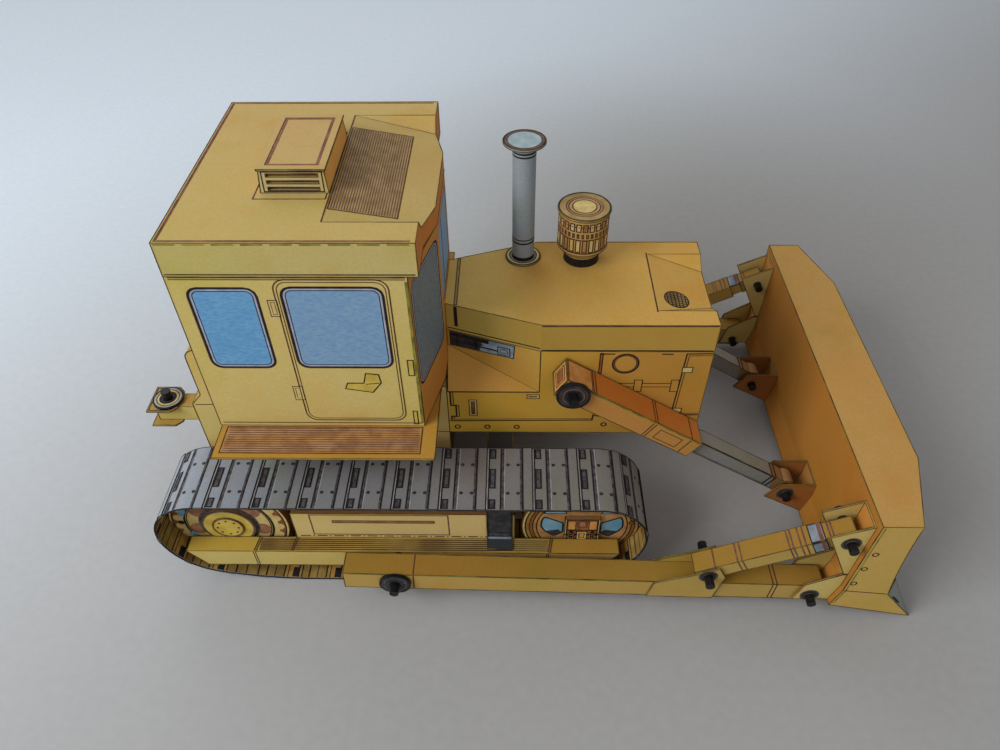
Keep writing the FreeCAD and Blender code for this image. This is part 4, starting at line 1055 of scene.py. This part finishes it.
# Washers: name, body, pin, how far out the face lies, radius, rings from the outside in, sides
PIVOT_RINGS = ((black, 0.5), (slate, 0.7), (shade, 0.6), (black, 0.4), (slate, 0.7), (black, 0.8), (None, 0))
TRUNNION_RINGS = ((black, 0.6), (slate, 0.7), (black, 0.3), (umber, 0.3), (slate, 0.6), (black, 0.9),
                  (None, 0))
CHEEK_RINGS = ((shade, 0.5), (slate, 0.5), (black, 0))
WASHERS = (("pivot", "chassis", ARM_REAR, 68.7, 5.1, PIVOT_RINGS, DISC_SIDES),
           ("trunnion", "chassis", LIFT_REAR, 34.0, 5.2, TRUNNION_RINGS, DISC_SIDES),
           ("gusset", "blade_frame", BRACE_REAR, 67.9, 3.1, CHEEK_RINGS, 28),
           ("brace_bracket", "blade_frame", BRACE_FRONT, 68.4, 3.1, CHEEK_RINGS, 28),
           ("arm_bracket", "blade_frame", ARM_FRONT, 68.4, 3.1, CHEEK_RINGS, 28),
           ("lift_bracket", "blade_frame", LIFT_FRONT, 33.1, 3.1, CHEEK_RINGS, 28))
for name, body, pin, out, radius, rings, sides in WASHERS:
    start_print()
    disc((0, 0), radius, rings, 0, sides)
    lay_print(name + "_washer_print", right_face(-out, pin), body=body)

# Washer round the drawbar's pin
HITCH_CENTRE, WASHER_TOP_Z = (-128.8, 0), 30.8
HITCH_RINGS = ((black, 0.4), (steel_pale, 0.8), (black, 0.35), (cream, 0.7), (black, 0.6), (slate, 0.6),
               (None, 0))
start_print()
disc((0, 0), 5.5, HITCH_RINGS)
lay_print("drawbar_washer_print", top_face(WASHER_TOP_Z, HITCH_CENTRE), MIDDLE)

# Blade: its end plates
start_print()
for centre in ((112.2, 36.9), (111.4, 28.8), (110.8, 20.2)):
    ring(centre, 1.1, 0.3, black, 0, 14)
stroke(((109.2, 15.7), (123.2, 13.9)), 0.3, brown)
stroke(((110.6, 50.6), (109.7, 15.9), (107.9, 8.0)), 0.3, olive)
fill(((125.4, 12.4), (126.4, 12.2), (129.4, 8.6), (128.4, 8.6)), black, layer=1)
lay_print("blade_end_print", right_face(box_mm("blade")[0][1]), body="blade_frame")

# Fuel tank: its side edges
TANK_LOW, TANK_HIGH = box_mm("fuel_tank")
start_print()
stroke(((TANK_HIGH[0] - 0.5, TANK_LOW[2] + 0.4), (TANK_HIGH[0] - 0.5, TANK_HIGH[2] - 0.4)), 0.35, black)
stroke(((-101.2, 59.2), (-91.0, 59.2)), 0.25, brown)
lay_print("tank_side_print", right_face(TANK_LOW[1]))

# Edge of the drawbar's upper plate
PLATE_TOP_Z = 30.0
PLATE_EDGE = ((-134.8, -6.0), (-126.6, -6.0), (-124.7, -4.1), (-124.7, 4.1), (-126.6, 6.0), (-134.8, 6.0))
start_print()
outline(PLATE_EDGE, 0.3, black)
lay_print("drawbar_plate_print", top_face(PLATE_TOP_Z), MIDDLE)


def raise_bands(name, centre, rows):
    """Closed bands round an upright tube, from (radius, lowest, highest, ink) rows: flat rings, raised."""
    start_print()
    for radius, low, high, material in rows:
        bpy.ops.mesh.select_all(action="SELECT")
        bpy.ops.mesh.hide()
        disc(centre, radius + 0.05, ((material, 0.4), (None, 0)), 0, 48)
        bpy.ops.mesh.select_all(action="SELECT")
        bpy.ops.mesh.extrude_region_move(TRANSFORM_OT_translate={"value": (0, 0, high - low)})
        bpy.ops.mesh.select_all(action="SELECT")
        mesh = bmesh.from_edit_mesh(bpy.context.object.data)
        for vertex in [entry for entry in mesh.verts if entry.select]:
            vertex.co.z += low - level(0)
        bmesh.update_edit_mesh(bpy.context.object.data)
        bpy.ops.mesh.reveal(select=False)
    bpy.ops.object.mode_set(mode="OBJECT")
    copy_to_sides(bpy.context.object, name, UPRIGHT, MIDDLE)


def roll_print(name, centre, radius):
    """Rolls the open drawing round an upright tube: across it is the run round, up it is the height."""
    drawing = close_print()
    for vertex in drawing.data.vertices:
        run, height, lift = vertex.co
        turn, reach = run / radius, radius + lift
        vertex.co = (centre[0] + reach * math.cos(turn), centre[1] + reach * math.sin(turn), height)
    copy_to_sides(drawing, name, UPRIGHT, MIDDLE)


def top_rings(name, centre, height, radius, rings, sides=48):
    """Rings drawn on a level face of an upright tube."""
    start_print()
    disc((0, 0), radius, rings, 0, sides)
    lay_print(name, top_face(height, centre), MIDDLE)


# Exhaust stack and pre-cleaner: bands, rims and slots
STACK_LOW, STACK_HIGH = box_mm("exhaust_stack")
STACK_CENTRE = ((STACK_LOW[0] + STACK_HIGH[0]) / 2, (STACK_LOW[1] + STACK_HIGH[1]) / 2)
STACK_R, STACK_BELL_R, STACK_FOOT_R, STACK_FOOT = 3.65, 6.5, 5.75, 0.6
BAND_HEIGHTS = ((87.1, 88.4), (93.6, 94.2), (95.0, 95.4), (124.6, 125.1), (125.7, 126.2))
STACK_BANDS = [(STACK_R, low, high, black) for low, high in BAND_HEIGHTS]
BELL_RINGS = ((black, 0.35), (plum, 0.5), (shade, 0.5), (sky, 0))
FOOT_RINGS = ((black, 0.3), (cream, 0.7), (black, 0.4), (None, 0))
raise_bands("stack_bands", STACK_CENTRE, STACK_BANDS)
top_rings("stack_top_print", STACK_CENTRE, STACK_HIGH[2], STACK_BELL_R - 0.1, BELL_RINGS)
top_rings("stack_foot_print", STACK_CENTRE, STACK_LOW[2] + STACK_FOOT, STACK_FOOT_R - 0.05, FOOT_RINGS,
          40)

CLEANER_LOW, CLEANER_HIGH = box_mm("air_precleaner")
CLEANER_CENTRE = ((CLEANER_LOW[0] + CLEANER_HIGH[0]) / 2, (CLEANER_LOW[1] + CLEANER_HIGH[1]) / 2)
CLEANER_R, CLEANER_NECK_R, CLEANER_LID_R = 8.2, 5.8, 8.5
CLEANER_BANDS = ((CLEANER_NECK_R, 86.55, 89.6, black), (CLEANER_R, 93.4, 93.8, black),
                 (CLEANER_R, 98.6, 98.9, brown), (CLEANER_R, 103.2, 103.6, brown))
# Slots round the pre-cleaner: lowest and highest height, width, how many
CLEANER_SLOTS = ((93.9, 98.8, 1.8, 24), (99.3, 101.0, 0.9, 34), (101.6, 104.6, 1.8, 24))
LID_RINGS = ((black, 0.4), (grate, 1.9), (brown, 0.35), (tan, 0.5), (black, 0.35), (grate, 0.8),
             (brown, 0.45), (cream, 0))
raise_bands("cleaner_bands", CLEANER_CENTRE, CLEANER_BANDS)
start_print()
for low, high, width, count in CLEANER_SLOTS:
    for number in range(count):
        middle = math.tau * CLEANER_R * number / count
        slot_paint = cream if number % 3 else tan
        patch(rect(middle - width / 2, low, middle + width / 2, high), ((brown, 0.42), (slot_paint, 0)))
roll_print("cleaner_slots", CLEANER_CENTRE, CLEANER_R)
top_rings("cleaner_top_print", CLEANER_CENTRE, CLEANER_HIGH[2], CLEANER_LID_R - 0.1, LID_RINGS)


def camera_matrix():
    """Place and turn of the photograph's camera, from its angles."""
    down, yaw, roll = (math.radians(angle) for angle in (CAMERA_DOWN, CAMERA_YAW, CAMERA_ROLL))
    ahead = Vector((math.sin(yaw) * math.cos(down), math.cos(yaw) * math.cos(down), -math.sin(down)))
    across = Vector((math.cos(yaw), -math.sin(yaw), 0))
    below = ahead.cross(across)
    right = across * math.cos(roll) + below * math.sin(roll)
    up = across * math.sin(roll) - below * math.cos(roll)
    turn = Matrix((right, up, -ahead)).transposed().to_4x4()
    return Matrix.Translation(CAMERA_PLACE) @ turn


select_only()
bpy.ops.object.camera_add()
camera = bpy.context.object
camera.matrix_world = camera_matrix()
camera.data.sensor_width = SENSOR_WIDTH
camera.data.lens = FOCAL_WIDTHS * SENSOR_WIDTH
camera.data.clip_start = CAMERA_NEAR
bpy.context.scene.camera = camera

# Floor: daylight falls off across the paper, from the rear left to the front right
FLOOR_SIZE = 6.0
PALE_CORNER, GREY_CORNER = srgb(224, 233, 241), srgb(168, 166, 164)
DAYLIGHT_WAY, DAYLIGHT_FROM, DAYLIGHT_TO = (-0.64, 0.77, 0.0), -0.08, 0.4
# Soft shade behind the machine, away from the window
POOL_CENTRE, POOL_REACH, POOL_TONE = (0.07, 0.18, 0.0), 0.24, (0.74, 0.70, 0.65, 1)


def floor_measure(tree, operation, other):
    """The floor's own coordinates along a direction, or their distance from a place."""
    node = add_node(tree, "VectorMath", operation=operation)
    socket(node, 0, add_node(tree, "TexCoord").outputs["Object"])
    socket(node, 1, other)
    return node.outputs["Value"]


def floor_paper():
    """Pale paper whose tone follows the daylight."""
    material, tree, shader = new_material("floor_paper", roughness=0.9)
    sweep = fade(tree, floor_measure(tree, "DOT_PRODUCT", DAYLIGHT_WAY), DAYLIGHT_FROM, DAYLIGHT_TO)
    tone = ramp(tree, sweep, ((0.0, GREY_CORNER), (1.0, PALE_CORNER)))
    pool = fade(tree, floor_measure(tree, "DISTANCE", POOL_CENTRE), 0.0, POOL_REACH)
    tone = glaze(tree, tone, ramp(tree, pool, ((0.0, POOL_TONE), (1.0, grey(1.0)))))
    grain = ramp(tree, noise(tree, 300, 3.0), ((0.3, grey(0.95)), (0.7, grey(1.0))))
    socket(shader, "Base Color", glaze(tree, tone, grain))
    return material


select_only()
bpy.ops.mesh.primitive_plane_add(size=FLOOR_SIZE, location=(0, 0, 0))
floor = bpy.context.object
floor.name = "paper_floor"
floor.data.materials.append(floor_paper())

# Lamps: place, power in watts, size in metres, colour
LAMPS = (("window_light", (-0.62, -0.42, 0.56), 6.0, 0.5, (0.94, 0.97, 1.0)),
         ("fill_light", (0.8, -1.0, 0.9), 1.6, 1.2, (1.0, 0.96, 0.92)),
         ("back_light", (-0.5, 1.1, 1.1), 4.0, 1.0, (0.96, 0.98, 1.0)))
for name, place, power, size, colour in LAMPS:
    bpy.ops.object.light_add(type="AREA", location=place)
    lamp = bpy.context.object
    lamp.name = name
    lamp.data.energy = power
    lamp.data.size = size
    lamp.data.color = colour
    lamp.rotation_euler = (-Vector(place)).to_track_quat("-Z", "Y").to_euler()

world = bpy.data.worlds.new("pale_room")
bpy.context.scene.world = world
world.use_nodes = True
socket(world.node_tree.nodes["Background"], "Color", (0.95, 0.97, 1.0, 1.0))
socket(world.node_tree.nodes["Background"], "Strength", 0.4)
bpy.context.scene.view_settings.view_transform = "Standard"
